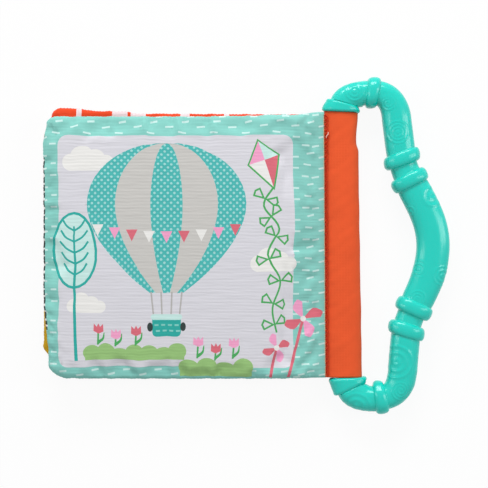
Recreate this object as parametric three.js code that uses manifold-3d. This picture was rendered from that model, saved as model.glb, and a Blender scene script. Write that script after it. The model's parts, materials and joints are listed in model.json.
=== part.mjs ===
// A crinkle cloth book with a teether handle, closed and lying on its back cover. Three padded leaves are sewn
// along their spine edge to a cloth sleeve, and a plastic rod in the sleeve carries the moulded handle.
// Millimetres. +X from the fore edge to the handle, +Y to the head of the page, +Z up from the back cover.

import * as THREE from 'three';
import { mergeVertices } from 'three/addons/utils/BufferGeometryUtils.js';
import Module from 'manifold-3d';

const wasm = await Module();
wasm.setup();

// Cloth and thread
const CLOTH = 0.5;
const PLY_GAP = 0.3;
const FILM = 0.4;
const THREAD = 0.4;

// Leaves: sizes over the padding, and how the padding swells
const LEAF_WIDTH = 129.3;
const LEAF_HEIGHT = 121;
const LEAF_OFFSET_Y = -0.6;
const LEAF_THICKNESS = 5.4;
const LEAF_CROWN = 0.5;
const LEAF_GAP = 0.35;
const CORNER_RADIUS = 4.5;
const EDGE_ROLL = 5;
const EDGE_PULL = 1;
const SPINE_TAPER = 16;
const FLOOR_FLAT = 0.5;
const PADDING_MARGIN = 4;
const PADDING_FROM_SPINE = 13;

// Each leaf as it is sewn in: its place in the stack, what it stands out at the fore edge, and how far its
// fore edge rides up the page for each millimetre of width
const LEAVES = [
  { name: 'back', level: 0, standOut: 0.5, skew: 0.004, front: 0xddb022, back: 0x8bd3c9 },
  { name: 'middle', level: 1, standOut: 0.7, skew: 0.02, front: 0xe8481f, back: 0xf2f1ee },
  { name: 'cover', level: 2, standOut: 0, skew: 0, front: 0x8bd3c9, back: 0x34403f },
];

// Spine: rod, sleeve and seam
const ROD_DIAMETER = 7;
const ROD_FROM_SEAM = 9.05;
const ROD_TILT = THREE.MathUtils.degToRad(1.44);
const ROD_CLEARANCE = 0.35;
const ROD_ENGAGEMENT = 5;
const SLEEVE_WALL = 0.8;
const SLEEVE_WIDTH_HEAD = 14.7;
const SLEEVE_WIDTH_FOOT = 16.9;
const SLEEVE_END_GAP = 0.7;
const SLEEVE_SQUARENESS = 2.3;
const SEAM_RISE = 0.7;
const STITCH_PITCH = 3.2;
const STITCH_REACH = 1.5;

// Handle: its centre line in the rod's frame, as reaches from the rod and distances along it from the collar's
// mouth, which stands just past the head and foot of the leaves
const COLLAR_PAST_LEAF = 0.9;
const GRIP_REACH = 40.6;
const BEAD_PAIR_REACH = 27.4;
const BEAD_PAIR_BELOW_MOUTH = 21.5;
const SHOULDER_REACH = 26;
const SHOULDER_BELOW_MOUTH = 4.4;
const ARM_BEAD_REACH = 15;
const ARM_ABOVE_MOUTH = 8.5;

// Handle: sections as width across the loop by height over the floor, and the beads' sizes
const GRIP = { width: 15.2, height: 10.8 };
const GRIP_END = { width: 13.2, height: 11 };
const WAIST = { width: 11.3, height: 10.8 };
const STRAIGHT = { width: 12.7, height: 11.8 };
const ARM = { width: 11, height: 11 };
const BEAD_HEIGHT = 14;
const BEAD_LENGTH = 5.8;
const BEAD_PITCH = 11.3;
const INNER_BEAD_WIDTH = 17;
const OUTER_BEAD_WIDTH = 16.1;
const ARM_BEAD_WIDTH = 14.7;
const TUBE_SQUARENESS = 2.25;
const TUBE_STEP = 3.2;
const COLLAR_WIDTH = 17.1;
const COLLAR_NECK_WIDTH = 13.2;
const COLLAR_HEIGHT = 11.8;
const COLLAR_LIP = 1;
const COLLAR_LENGTH = 4;
const COLLAR_SLOPE = -0.386;
const COLLAR_ROUNDING = 0.9;

// Levels and places that follow from those sizes
const ROD_LEVEL = BEAD_HEIGHT / 2;
const COLLAR_MOUTH = LEAF_HEIGHT / 2 + COLLAR_PAST_LEAF;
const ARM_HEIGHT = COLLAR_MOUTH + ARM_ABOVE_MOUTH;
const SHOULDER_HEIGHT = COLLAR_MOUTH - SHOULDER_BELOW_MOUTH;
const BEAD_PAIR_HEIGHT = COLLAR_MOUTH - BEAD_PAIR_BELOW_MOUTH;
const TAB_HALF = CLOTH + PLY_GAP / 2;
const TAB_PITCH = 2 * TAB_HALF + PLY_GAP;
const SLEEVE_HEIGHT = ROD_DIAMETER + 2 * (ROD_CLEARANCE + SLEEVE_WALL);
const SLEEVE_HALF_LENGTH = COLLAR_MOUTH - SLEEVE_END_GAP;

const { lerp, smoothstep } = THREE.MathUtils;

function material(color, roughness) {
  return new THREE.MeshStandardMaterial({ color, roughness, metalness: 0 });
}

const thread = material(0xb3200f, 0.8);
const sleeveCloth = material(0xec5a2c, 0.85);
const wadding = material(0xf4f3ef, 1);
const film = material(0xe3e8ea, 0.35);
const handlePlastic = material(0x2fcfbe, 0.3);
const rodPlastic = material(0x27b8a8, 0.4);

function mesh(name, geometry, surface) {
  const part = new THREE.Mesh(geometry, surface);
  part.name = name;
  return part;
}

function geometryOf(positions, index) {
  const geometry = new THREE.BufferGeometry();
  geometry.setAttribute('position', new THREE.Float32BufferAttribute(positions, 3));
  geometry.setIndex(index);
  geometry.computeVertexNormals();
  return geometry;
}

// A closed body through rings of points, each ring counter-clockwise as seen from the next one. It is capped at
// both ends, or the last ring joins the first.
function loft(rings, joined = false) {
  const count = rings[0].length;
  const positions = rings.flat().flatMap((point) => point.toArray());
  const index = [];
  const spans = joined ? rings.length : rings.length - 1;
  for (let i = 0; i < spans; i += 1) {
    const near = i * count;
    const far = ((i + 1) % rings.length) * count;
    for (let j = 0; j < count; j += 1) {
      const k = (j + 1) % count;
      index.push(near + j, near + k, far + k);
      index.push(near + j, far + k, far + j);
    }
  }
  if (!joined) {
    const last = (rings.length - 1) * count;
    for (let j = 1; j < count - 1; j += 1) {
      index.push(0, j + 1, j);
      index.push(last, last + j, last + j + 1);
    }
  }
  return geometryOf(positions, index);
}

// A closed body between an upper and a lower surface over one grid of columns and rows.
function slab(columns, rows, upper, lower) {
  const positions = [];
  for (const surface of [upper, lower]) {
    for (const column of columns) {
      for (const row of rows) {
        positions.push(...surface(column, row).toArray());
      }
    }
  }
  const across = rows.length;
  const under = columns.length * across;
  const index = [];
  const face = (a, b, c, d) => index.push(a, b, c, a, c, d);
  for (let i = 0; i < columns.length - 1; i += 1) {
    for (let j = 0; j < across - 1; j += 1) {
      const corner = i * across + j;
      face(corner, corner + 1, corner + across + 1, corner + across);
      face(under + corner, under + corner + across, under + corner + across + 1, under + corner + 1);
    }
  }
  for (let i = 0; i < columns.length - 1; i += 1) {
    const foot = i * across;
    const head = foot + across - 1;
    face(foot, foot + across, under + foot + across, under + foot);
    face(head + across, head, under + head, under + head + across);
  }
  const foreEdge = (columns.length - 1) * across;
  for (let j = 0; j < across - 1; j += 1) {
    face(j + 1, j, under + j, under + j + 1);
    face(foreEdge + j, foreEdge + j + 1, under + foreEdge + j + 1, under + foreEdge + j);
  }
  return geometryOf(positions, index);
}

function solidOf(geometry) {
  const bare = geometry.clone();
  bare.deleteAttribute('normal');
  bare.deleteAttribute('uv');
  const merged = mergeVertices(bare);
  const body = new wasm.Mesh({
    numProp: 3,
    vertProperties: new Float32Array(merged.attributes.position.array),
    triVerts: new Uint32Array(merged.index.array),
  });
  return new wasm.Manifold(body);
}

function geometryOfSolid(solid) {
  const { vertProperties, triVerts } = solid.getMesh();
  return geometryOf(Array.from(vertProperties), Array.from(triVerts));
}

// A number's sign kept on its power, which squares off a circle into a superellipse
function signedPower(value, power) {
  return Math.sign(value) * Math.abs(value) ** power;
}

function superellipse(steps, squareness) {
  return Array.from({ length: steps }, (unused, step) => {
    const angle = (2 * Math.PI * step) / steps;
    return {
      across: signedPower(Math.cos(angle), 2 / squareness),
      up: signedPower(Math.sin(angle), 2 / squareness),
    };
  });
}

// Leaves. A place on a leaf is its distance from the spine seam and its share of the half height of the page.

const leafHalf = LEAF_THICKNESS / 2;

function leafWidth(leaf) {
  return LEAF_WIDTH + leaf.standOut;
}

function leafHalfHeight(leaf, fromSpine) {
  const width = leafWidth(leaf);
  const intoCorner = Math.max(CORNER_RADIUS - (width - fromSpine), 0);
  const cornerLoss = CORNER_RADIUS - Math.sqrt(CORNER_RADIUS ** 2 - intoCorner ** 2);
  const pull = EDGE_PULL * Math.sin((Math.PI * fromSpine) / width);
  return LEAF_HEIGHT / 2 - cornerLoss - pull;
}

function rolledEdge(fromEdge) {
  const share = 1 - Math.min(fromEdge / EDGE_ROLL, 1);
  return Math.sqrt(1 - share ** 2);
}

// The leaf's outer surfaces over one place of its plan, as levels, with the middle of its padding
function leafLevels(leaf, fromSpine, across) {
  const width = leafWidth(leaf);
  const fromSide = (1 - Math.abs(across)) * leafHalfHeight(leaf, fromSpine);
  const taper = smoothstep(fromSpine, 0, SPINE_TAPER);
  const swell = rolledEdge(width - fromSpine) * rolledEdge(fromSide) * taper;
  const crown = LEAF_CROWN * (1 - (2 * fromSpine / width - 1) ** 2) * (1 - across ** 2);
  const half = lerp(TAB_HALF, leafHalf - LEAF_CROWN, swell) + crown;
  const tabLevel = ROD_LEVEL + SEAM_RISE + (leaf.level - 1) * TAB_PITCH;
  const restLevel = leafHalf - FLOOR_FLAT + leaf.level * (LEAF_THICKNESS + LEAF_GAP);
  const middle = lerp(tabLevel, restLevel, taper);
  return { middle, top: middle + half, bottom: Math.max(middle - half, 0) };
}

function leafPlan(leaf, fromSpine, across) {
  const width = leafWidth(leaf);
  const drawnIn = EDGE_PULL * (1 - across ** 2) * (fromSpine / width);
  const x = drawnIn - fromSpine;
  const y = LEAF_OFFSET_Y + across * leafHalfHeight(leaf, fromSpine) + leaf.skew * fromSpine;
  return { x, y };
}

// Places along one way of the page: close together over the rolled edges, and even between them
function rolledSteps(length, startPlaces, evenSteps) {
  const rollPlaces = [0.08, 0.3, 0.62, 1].map((share) => share * EDGE_ROLL);
  const start = startPlaces ?? [0, ...rollPlaces];
  const first = start[start.length - 1];
  const last = length - EDGE_ROLL;
  const even = Array.from({ length: evenSteps - 1 }, (unused, i) => lerp(first, last, (i + 1) / evenSteps));
  return [...start, ...even, ...rollPlaces.map((place) => length - place).reverse(), length];
}

function layer(leaf, columns, rows, topOf, bottomOf) {
  const surface = (levelOf) => (fromSpine, across) => {
    const plan = leafPlan(leaf, fromSpine, across);
    return new THREE.Vector3(plan.x, plan.y, levelOf(leafLevels(leaf, fromSpine, across)));
  };
  return slab(columns, rows, surface(topOf), surface(bottomOf));
}

function makeLeaf(leaf) {
  const taperPlaces = [0, 0.25, 0.5, 0.75, 1].map((share) => share * SPINE_TAPER);
  const columns = rolledSteps(leafWidth(leaf), taperPlaces, 4);
  const rows = rolledSteps(LEAF_HEIGHT, undefined, 5).map((place) => (2 * place) / LEAF_HEIGHT - 1);
  const paddedEnd = leafWidth(leaf) - PADDING_MARGIN;
  const paddedColumns = Array.from({ length: 8 }, (unused, i) => lerp(PADDING_FROM_SPINE, paddedEnd, i / 7));
  const paddedReach = 1 - (2 * PADDING_MARGIN) / LEAF_HEIGHT;
  const paddedRows = Array.from({ length: 8 }, (unused, i) => lerp(-paddedReach, paddedReach, i / 7));

  const frontInside = (at) => Math.max(at.top - CLOTH, at.middle + PLY_GAP / 2);
  const backInside = (at) => Math.min(at.bottom + CLOTH, at.middle - PLY_GAP / 2);
  const filmTop = (at) => frontInside(at) - PLY_GAP;
  const filmBottom = (at) => filmTop(at) - FILM;
  const battingTop = (at) => filmBottom(at) - PLY_GAP;
  const battingBottom = (at) => backInside(at) + PLY_GAP;

  const front = layer(leaf, columns, rows, (at) => at.top, frontInside);
  const back = layer(leaf, columns, rows, backInside, (at) => at.bottom);
  const crinkle = layer(leaf, paddedColumns, paddedRows, filmTop, filmBottom);
  const batting = layer(leaf, paddedColumns, paddedRows, battingTop, battingBottom);

  const group = new THREE.Group();
  group.add(
    mesh(`${leaf.name}_front_panel`, front, material(leaf.front, 0.85)),
    mesh(`${leaf.name}_back_panel`, back, material(leaf.back, 0.85)),
    mesh(`${leaf.name}_crinkle_film`, crinkle, film),
    mesh(`${leaf.name}_batting`, batting, wadding),
  );
  return group;
}

// Spine sleeve: a flattened cloth tube whose seam side is straight and whose outer side follows the tilted rod

function sleeveWidthAt(y) {
  const towardsHead = (y + SLEEVE_HALF_LENGTH) / (2 * SLEEVE_HALF_LENGTH);
  return lerp(SLEEVE_WIDTH_FOOT, SLEEVE_WIDTH_HEAD, towardsHead);
}

function sleeveRing(y, inset) {
  const halfWidth = sleeveWidthAt(y) / 2;
  const centre = PLY_GAP + halfWidth;
  return superellipse(20, SLEEVE_SQUARENESS).map(({ across, up }) => new THREE.Vector3(
    centre - across * (halfWidth - inset),
    y,
    ROD_LEVEL + up * (SLEEVE_HEIGHT / 2 - inset),
  ));
}

function makeSleeve() {
  const ends = [-SLEEVE_HALF_LENGTH, SLEEVE_HALF_LENGTH];
  const outside = ends.map((y) => sleeveRing(y, 0));
  const inside = [...ends].reverse().map((y) => sleeveRing(y, SLEEVE_WALL));
  return mesh('spine_sleeve', loft([...outside, ...inside], true), sleeveCloth);
}

// The level of the sleeve's upper side at a distance from the seam side of the sleeve
function sleeveTop(fromSide, y) {
  const halfWidth = sleeveWidthAt(y) / 2;
  const share = Math.abs(1 - fromSide / halfWidth) ** SLEEVE_SQUARENESS;
  return ROD_LEVEL + (SLEEVE_HEIGHT / 2) * (1 - share) ** (1 / SLEEVE_SQUARENESS);
}

// Seam stitches: one overlock thread that zigzags over the sleeve's shoulder, with rings square to the seam
function makeStitches() {
  const steps = 4 * Math.floor((2 * SLEEVE_HALF_LENGTH - STITCH_PITCH) / STITCH_PITCH);
  const rings = Array.from({ length: steps + 1 }, (unused, step) => {
    const y = ((step - steps / 2) * STITCH_PITCH) / 4;
    const share = [0, 0.5, 1, 0.5][step % 4];
    const fromSide = THREAD + share * STITCH_REACH;
    const z = sleeveTop(fromSide, y) + PLY_GAP + THREAD;
    return superellipse(5, 2).map(({ across, up }) => new THREE.Vector3(
      PLY_GAP + fromSide - (across * THREAD) / 2,
      y,
      z + (up * THREAD) / 2,
    ));
  });
  return mesh('spine_seam_stitches', loft(rings), thread);
}

// Teether handle, in the rod's frame: +Y along the rod, +X towards the grip

function handleHalfPath() {
  const grip = new THREE.Vector2(GRIP_REACH, 0);
  const pair = new THREE.Vector2(BEAD_PAIR_REACH, BEAD_PAIR_HEIGHT);
  const shoulder = new THREE.Vector2(SHOULDER_REACH, SHOULDER_HEIGHT);
  const armBead = new THREE.Vector2(ARM_BEAD_REACH, ARM_HEIGHT);
  const collar = new THREE.Vector2(0, COLLAR_MOUTH + COLLAR_LIP);
  const swell = 0.4 * BEAD_PAIR_HEIGHT;
  const lean = 0.35 * BEAD_PAIR_HEIGHT;
  const path = new THREE.CurvePath();
  path.add(new THREE.CubicBezierCurve(
    grip,
    new THREE.Vector2(GRIP_REACH, swell),
    new THREE.Vector2(BEAD_PAIR_REACH + 0.2 * lean, BEAD_PAIR_HEIGHT - lean),
    pair,
  ));
  path.add(new THREE.LineCurve(pair, shoulder));
  path.add(new THREE.CubicBezierCurve(
    shoulder,
    new THREE.Vector2(SHOULDER_REACH - 0.4, lerp(SHOULDER_HEIGHT, ARM_HEIGHT, 0.62)),
    new THREE.Vector2(lerp(ARM_BEAD_REACH, SHOULDER_REACH, 0.59), ARM_HEIGHT),
    armBead,
  ));
  path.add(new THREE.CubicBezierCurve(
    armBead,
    new THREE.Vector2(0.4 * ARM_BEAD_REACH, ARM_HEIGHT),
    new THREE.Vector2(0, lerp(collar.y, ARM_HEIGHT, 0.8)),
    collar,
  ));
  return path;
}

const halfPath = handleHalfPath();
const halfLength = halfPath.getLength();
const [toPair, toShoulder, toArmBead] = halfPath.getCurveLengths();

const BEADS = [
  { at: toPair - BEAD_PITCH, width: INNER_BEAD_WIDTH },
  { at: toPair, width: OUTER_BEAD_WIDTH },
  { at: toArmBead, width: ARM_BEAD_WIDTH },
];

// The tube's plain sections along the half path, which it passes through smoothly
const SECTIONS = [
  { at: 0, ...GRIP },
  { at: toPair - BEAD_PITCH - BEAD_LENGTH, ...GRIP_END },
  { at: toPair - BEAD_PITCH / 2, ...WAIST },
  { at: toPair + BEAD_LENGTH, ...STRAIGHT },
  { at: toShoulder, ...STRAIGHT },
  { at: toArmBead, ...ARM },
  { at: halfLength, ...ARM },
];

function tubeSection(distance) {
  const next = SECTIONS.findIndex((section) => section.at >= distance);
  const after = SECTIONS[Math.max(next, 1)];
  const before = SECTIONS[Math.max(next, 1) - 1];
  const share = smoothstep(distance, before.at, after.at);
  let width = lerp(before.width, after.width, share);
  let height = lerp(before.height, after.height, share);
  for (const bead of BEADS) {
    const fromBead = Math.min(Math.abs(distance - bead.at) / (BEAD_LENGTH / 2), 1);
    const bulge = Math.sqrt(1 - fromBead ** 2);
    width = lerp(width, bead.width, bulge);
    height = lerp(height, BEAD_HEIGHT, bulge);
  }
  return { width, height };
}

// Distances along the half path: even steps on the plain tube, and closer ones over each bead
function tubeDistances() {
  const reach = BEAD_LENGTH / 2;
  const steps = Math.round(halfLength / TUBE_STEP);
  const plain = Array.from({ length: steps + 1 }, (unused, i) => (i / steps) * halfLength);
  const clear = plain.filter((at) => BEADS.every((bead) => Math.abs(at - bead.at) > reach + TUBE_STEP / 4));
  const beadSteps = [-1, -0.94, -0.72, -0.4, 0, 0.4, 0.72, 0.94, 1];
  const beaded = BEADS.flatMap((bead) => beadSteps.map((share) => bead.at + share * reach));
  return [...clear, ...beaded].sort((a, b) => a - b);
}

function tubeRing(distance) {
  const side = Math.sign(distance) || 1;
  const share = Math.min(Math.abs(distance) / halfLength, 1);
  const point = halfPath.getPoint(share);
  const tangent = halfPath.getTangent(share);
  const { width, height } = tubeSection(Math.abs(distance));
  const outward = new THREE.Vector2(tangent.y, -side * tangent.x);
  return superellipse(16, TUBE_SQUARENESS).map(({ across, up }) => new THREE.Vector3(
    point.x - (outward.x * across * width) / 2,
    side * point.y - (outward.y * across * width) / 2,
    (up * height) / 2,
  ));
}

function makeTube() {
  const upper = tubeDistances();
  const lower = upper.slice(1).map((distance) => -distance).reverse();
  return solidOf(loft([...lower, ...upper].map(tubeRing)));
}

// A flared collar: an oval mouth that faces the sleeve, closing to a slanted neck
function makeCollar(side) {
  const mouth = { y: COLLAR_MOUTH, width: COLLAR_WIDTH - COLLAR_ROUNDING, inset: COLLAR_ROUNDING, slope: 0 };
  const lip = { y: COLLAR_MOUTH + COLLAR_LIP, width: COLLAR_WIDTH, inset: 0, slope: 0 };
  const neck = { y: COLLAR_MOUTH + COLLAR_LENGTH, width: COLLAR_NECK_WIDTH, inset: 0, slope: COLLAR_SLOPE };
  const crown = {
    y: neck.y + COLLAR_ROUNDING,
    width: COLLAR_NECK_WIDTH - 2 * COLLAR_ROUNDING,
    inset: 2 * COLLAR_ROUNDING,
    slope: COLLAR_SLOPE,
  };
  const rings = [mouth, lip, neck, crown].map((section) => superellipse(20, TUBE_SQUARENESS).map(
    ({ across, up }) => {
      const x = (-across * section.width) / 2;
      const z = (up * (COLLAR_HEIGHT - section.inset)) / 2;
      return new THREE.Vector3(x, side * (section.y + section.slope * x), z);
    },
  ));
  return solidOf(loft(side > 0 ? rings : rings.reverse()));
}

// The blind socket in a collar that the end of the rod sits in
function makeSocket(side) {
  const depth = ROD_ENGAGEMENT + ROD_CLEARANCE;
  const overrun = 2;
  const radius = ROD_DIAMETER / 2 + ROD_CLEARANCE;
  const socket = new THREE.CylinderGeometry(radius, radius, depth + overrun, 24);
  socket.translate(0, side * (COLLAR_MOUTH + (depth - overrun) / 2), 0);
  return solidOf(socket);
}

function makeHandle() {
  let handle = makeTube();
  for (const side of [1, -1]) {
    handle = handle.add(makeCollar(side));
  }
  for (const side of [1, -1]) {
    handle = handle.subtract(makeSocket(side));
  }
  return mesh('teether_handle', geometryOfSolid(handle), handlePlastic);
}

function makeRod() {
  const length = 2 * (COLLAR_MOUTH + ROD_ENGAGEMENT);
  const rod = new THREE.CylinderGeometry(ROD_DIAMETER / 2, ROD_DIAMETER / 2, length, 24);
  return mesh('spine_rod', rod, rodPlastic);
}

// Assembly: the leaves, sleeve and seam are placed from the seam line, the rod and handle from the rod's axis

const swinging = new THREE.Group();
swinging.position.set(ROD_FROM_SEAM, 0, ROD_LEVEL);
swinging.rotation.z = ROD_TILT;
swinging.add(makeRod(), makeHandle());

const sewn = new THREE.Group();
sewn.add(...LEAVES.map(makeLeaf), makeSleeve(), makeStitches());

const book = new THREE.Group();
book.add(sewn, swinging);

// The origin is under the middle of the whole object, on the surface that it lies on
book.updateMatrixWorld(true);
const extent = new THREE.Box3().setFromObject(book, true);
const middle = extent.getCenter(new THREE.Vector3());
book.position.set(-middle.x, -middle.y, -extent.min.z);
book.updateMatrixWorld(true);

export default book;
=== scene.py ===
import json
import math
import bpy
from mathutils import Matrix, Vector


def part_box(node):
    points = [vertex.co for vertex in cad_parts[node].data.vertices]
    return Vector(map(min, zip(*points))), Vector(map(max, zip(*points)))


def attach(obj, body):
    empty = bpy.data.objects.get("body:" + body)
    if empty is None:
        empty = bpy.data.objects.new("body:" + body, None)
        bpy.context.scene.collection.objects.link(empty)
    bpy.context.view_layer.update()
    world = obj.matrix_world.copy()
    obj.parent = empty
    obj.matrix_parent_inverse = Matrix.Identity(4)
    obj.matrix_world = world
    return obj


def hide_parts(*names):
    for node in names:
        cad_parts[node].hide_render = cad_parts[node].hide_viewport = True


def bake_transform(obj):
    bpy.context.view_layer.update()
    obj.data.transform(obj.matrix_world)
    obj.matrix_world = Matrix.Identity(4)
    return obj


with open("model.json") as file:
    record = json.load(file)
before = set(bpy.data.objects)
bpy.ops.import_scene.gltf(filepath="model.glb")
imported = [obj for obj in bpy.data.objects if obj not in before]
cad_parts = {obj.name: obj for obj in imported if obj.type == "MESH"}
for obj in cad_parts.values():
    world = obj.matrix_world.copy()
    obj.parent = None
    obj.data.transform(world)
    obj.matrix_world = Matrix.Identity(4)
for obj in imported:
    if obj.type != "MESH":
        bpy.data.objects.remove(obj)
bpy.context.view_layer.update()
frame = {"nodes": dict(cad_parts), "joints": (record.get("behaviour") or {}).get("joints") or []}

from types import SimpleNamespace

import bpy
import numpy as np
from mathutils.geometry import delaunay_2d_cdt

# Padded leaves
# Each leaf is two printed polyester panels sewn face to face round three sides and turned out over thin wadding
# and a crackling film, so that its edges roll and pucker. The open side stays flat for the spine seam.

MM = 0.001
COVER_LOW, COVER_HIGH = (np.array(corner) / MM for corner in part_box("cover_front_panel"))
SLEEVE_LOW, SLEEVE_HIGH = (np.array(corner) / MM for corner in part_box("spine_sleeve"))
SEAM_X = COVER_HIGH[0]
PAGE_HEIGHT = COVER_HIGH[1] - COVER_LOW[1]
PAGE_MIDDLE_X = (COVER_LOW[0] + COVER_HIGH[0]) / 2
PAGE_MIDDLE_Y = (COVER_LOW[1] + COVER_HIGH[1]) / 2
SLEEVE_LEVEL = (SLEEVE_LOW[2] + SLEEVE_HIGH[2]) / 2

CORNER_RADIUS = 4.5
EDGE_ROLL = 5.0
FORE_BOW = 0.3
SPINE_TAPER = 16.0
TAB_HALF = 0.65
TAB_PITCH = 1.6
TAB_RISE = 0.7
SEAM_HALF = 0.12
SWELL_HALF = 2.2
CROWN = 0.5
LEAF_PITCH = 5.75
EDGE_PUFF = 0.35
EDGE_WAVER = 0.2
PUCKER_DEPTH = 0.5
PUCKER_REACH = 5.0
PUCKER_BIAS, PUCKER_MOST = 0.6, 0.35
WAVER_REACH = 3
PLAN_STEP = 1.6
PLACE_ROUNDS, PLACE_STEP = 50, 0.6
SEAM_LEAN = 0.35
LEAN_FADES = 20
HEAD_TUCK_FROM, HEAD_TUCK_FULL = 50, 60
FOOT_TUCK_FULL = 59
TUCK_REACH = 40
CORNER_REACH = 9
SPINE_RISE_FROM, SPINE_RISE_TO = 1, 14
DROP_FROM, DROP_FULL = 20, 60


def smoothstep(x, low, high):
    share = np.clip((x - low) / (high - low), 0, 1)
    return share * share * (3 - 2 * share)


def as_points(*coordinates):
    return np.stack(np.broadcast_arrays(*coordinates), axis=-1)


def unit(vectors):
    return vectors / np.linalg.norm(vectors, axis=-1, keepdims=True)


def spline_weights(t):
    """How much four neighbours in a row count at a share t of the way between the middle two, on a smooth curve."""
    return ((-t**3 + 2 * t**2 - t) / 2, (3 * t**3 - 5 * t**2 + 2) / 2, (-3 * t**3 + 4 * t**2 + t) / 2,
            (t**3 - t**2) / 2)


def rolled(from_edge):
    share = 1 - np.clip(from_edge / EDGE_ROLL, 0, 1)
    return np.sqrt(1 - share**2)


def ripple(along, phase):
    """Uneven waves between -1 and 1, as the gathers along a turned seam."""
    waves = ((5.3, 0.30, 1.0), (7.9, 0.34, 2.2), (12.7, 0.24, 0.4), (21.0, 0.12, 4.1))
    return sum(share * np.sin(2 * math.pi * along / length + start + phase) for length, share, start in waves)


def leaf_sizes(name, level, **lie):
    """A leaf's place in the stack, and how it lies: lengths in mm that its edges are tucked in, dropped or raised."""
    low = np.array(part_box(f"{name}_front_panel")[0]) / MM
    return SimpleNamespace(
        name=name,
        width=SEAM_X - low[0],
        tab=SLEEVE_LEVEL + TAB_RISE + (level - 1) * TAB_PITCH,
        rest=COVER_HIGH[2] - SWELL_HALF - CROWN - (2 - level) * LEAF_PITCH,
        **lie,
    )


def half_height(leaf, from_spine):
    into_corner = np.clip(CORNER_RADIUS - (leaf.width - from_spine), 0, CORNER_RADIUS)
    corner_loss = CORNER_RADIUS - np.sqrt(CORNER_RADIUS**2 - into_corner**2)
    return PAGE_HEIGHT / 2 - corner_loss


def seam_lean(y):
    """How far the spine seam, which leans a little, is off to the right at that height."""
    return -SEAM_LEAN * (y - PAGE_MIDDLE_Y) / (PAGE_HEIGHT / 2)


def leaf_plan(leaf, from_spine, across):
    """The place of the leaf as it lies, with its fore corners tucked in and its head edge rising at the spine."""
    up = across * PAGE_HEIGHT / 2
    head, foot = smoothstep(up, HEAD_TUCK_FROM, HEAD_TUCK_FULL), smoothstep(-up, leaf.tuck_from, FOOT_TUCK_FULL)
    fore, corner = (smoothstep(from_spine, leaf.width - reach, leaf.width) for reach in (TUCK_REACH, CORNER_REACH))
    x = SEAM_X - from_spine + FORE_BOW * (1 - across**2) * from_spine / leaf.width
    x = x + fore * (leaf.fore_tuck + leaf.head_tuck * head + leaf.foot_tuck * foot + leaf.fore_lean * across)
    x = x + seam_lean(PAGE_MIDDLE_Y + up) * (1 - smoothstep(from_spine, 0, LEAN_FADES))
    y = PAGE_MIDDLE_Y + across * half_height(leaf, from_spine) + leaf.skew * from_spine
    for drop, near, far in leaf.head_drops:
        y = y - drop * smoothstep(from_spine, near, far) * smoothstep(up, DROP_FROM, DROP_FULL)
    y = y + leaf.spine_rise * (1 - smoothstep(from_spine, SPINE_RISE_FROM, SPINE_RISE_TO)) * head
    y = y + leaf.foot_rise * corner * foot
    y = y - leaf.foot_sag * np.sin(math.pi * from_spine / leaf.width) * smoothstep(-up, DROP_FROM, DROP_FULL)
    return x, y


def leaf_place(leaf, x, y):
    """The distance from the spine and the share of the half height at points of the plan, found step by step."""
    from_spine, across = SEAM_X - x, 2 * (y - PAGE_MIDDLE_Y) / PAGE_HEIGHT
    for _ in range(PLACE_ROUNDS):
        found_x, found_y = leaf_plan(leaf, from_spine, across)
        from_spine = np.clip(from_spine + PLACE_STEP * (found_x - x), 0, leaf.width)
        across = np.clip(across - PLACE_STEP * (found_y - y) / half_height(leaf, from_spine), -1, 1)
    return from_spine, across


def leaf_surface(leaf, from_spine, across, side):
    """Points in mm on the leaf's front for side 1 or its back for side -1, before the padding presses it out."""
    to_fore = leaf.width - from_spine
    to_flank = (1 - np.abs(across)) * half_height(leaf, from_spine)
    fore, flank = rolled(to_fore), rolled(to_flank)
    taper = smoothstep(from_spine, 0, SPINE_TAPER)
    crown = CROWN * (1 - (2 * from_spine / leaf.width - 1) ** 2) * (1 - across**2)
    full = TAB_HALF + taper * (SWELL_HALF - TAB_HALF)
    half = SEAM_HALF + fore * flank * (full - SEAM_HALF) + crown
    x, y = leaf_plan(leaf, from_spine, across)
    phase = leaf.rest + side
    flank_gathers = ripple(from_spine, phase + np.sign(across)) * np.exp(-to_flank / PUCKER_REACH)
    fore_gathers = ripple(y, phase + 2) * np.exp(-to_fore / PUCKER_REACH)
    gathers = (flank_gathers + fore_gathers - PUCKER_BIAS) * fore * flank * taper
    half = half + PUCKER_DEPTH * np.minimum(gathers, PUCKER_MOST)
    z = leaf.tab + taper * (leaf.rest - leaf.tab) + side * half
    x = x - 4 * EDGE_PUFF * fore * (1 - fore)
    x = x - EDGE_WAVER * ripple(y, leaf.tab) * np.exp(-to_fore / WAVER_REACH)
    outward = 4 * EDGE_PUFF * flank * (1 - flank) * taper
    outward = outward + EDGE_WAVER * ripple(from_spine, leaf.tab) * np.exp(-to_flank / WAVER_REACH) * taper
    y = y + np.sign(across) * outward
    return as_points(x, y, np.maximum(z, 0))


# The padding presses the sewn cloth out: a cloth simulation on a coarse copy of the leaf gives how far each place
# of it moves, and the finer printed panels take that over.

CLOTH_STEP = 2.6
CLOTH_FRAMES = 20
CLOTH_SETTINGS = {"quality": 6, "mass": 0.15, "tension_stiffness": 15, "compression_stiffness": 15,
                  "shear_stiffness": 5, "bending_stiffness": 0.3, "use_pressure": True,
                  "uniform_pressure_force": 4.0, "shrink_min": -0.03, "vertex_group_mass": "sewn"}
CLOTH_HELD = 3
MOST_INWARD = 0.7
MOST_SIDEWAYS = 0.5


def add_object(name, data):
    made = bpy.data.objects.new(name, data)
    bpy.context.collection.objects.link(made)
    return made


def mesh_object(name, vertices, faces, material=None):
    mesh = bpy.data.meshes.new(name)
    mesh.from_pydata([tuple(vertex) for vertex in vertices], [], faces)
    mesh.update()
    if material:
        mesh.materials.append(material)
        mesh.shade_smooth()
    return add_object(name, mesh)


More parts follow.
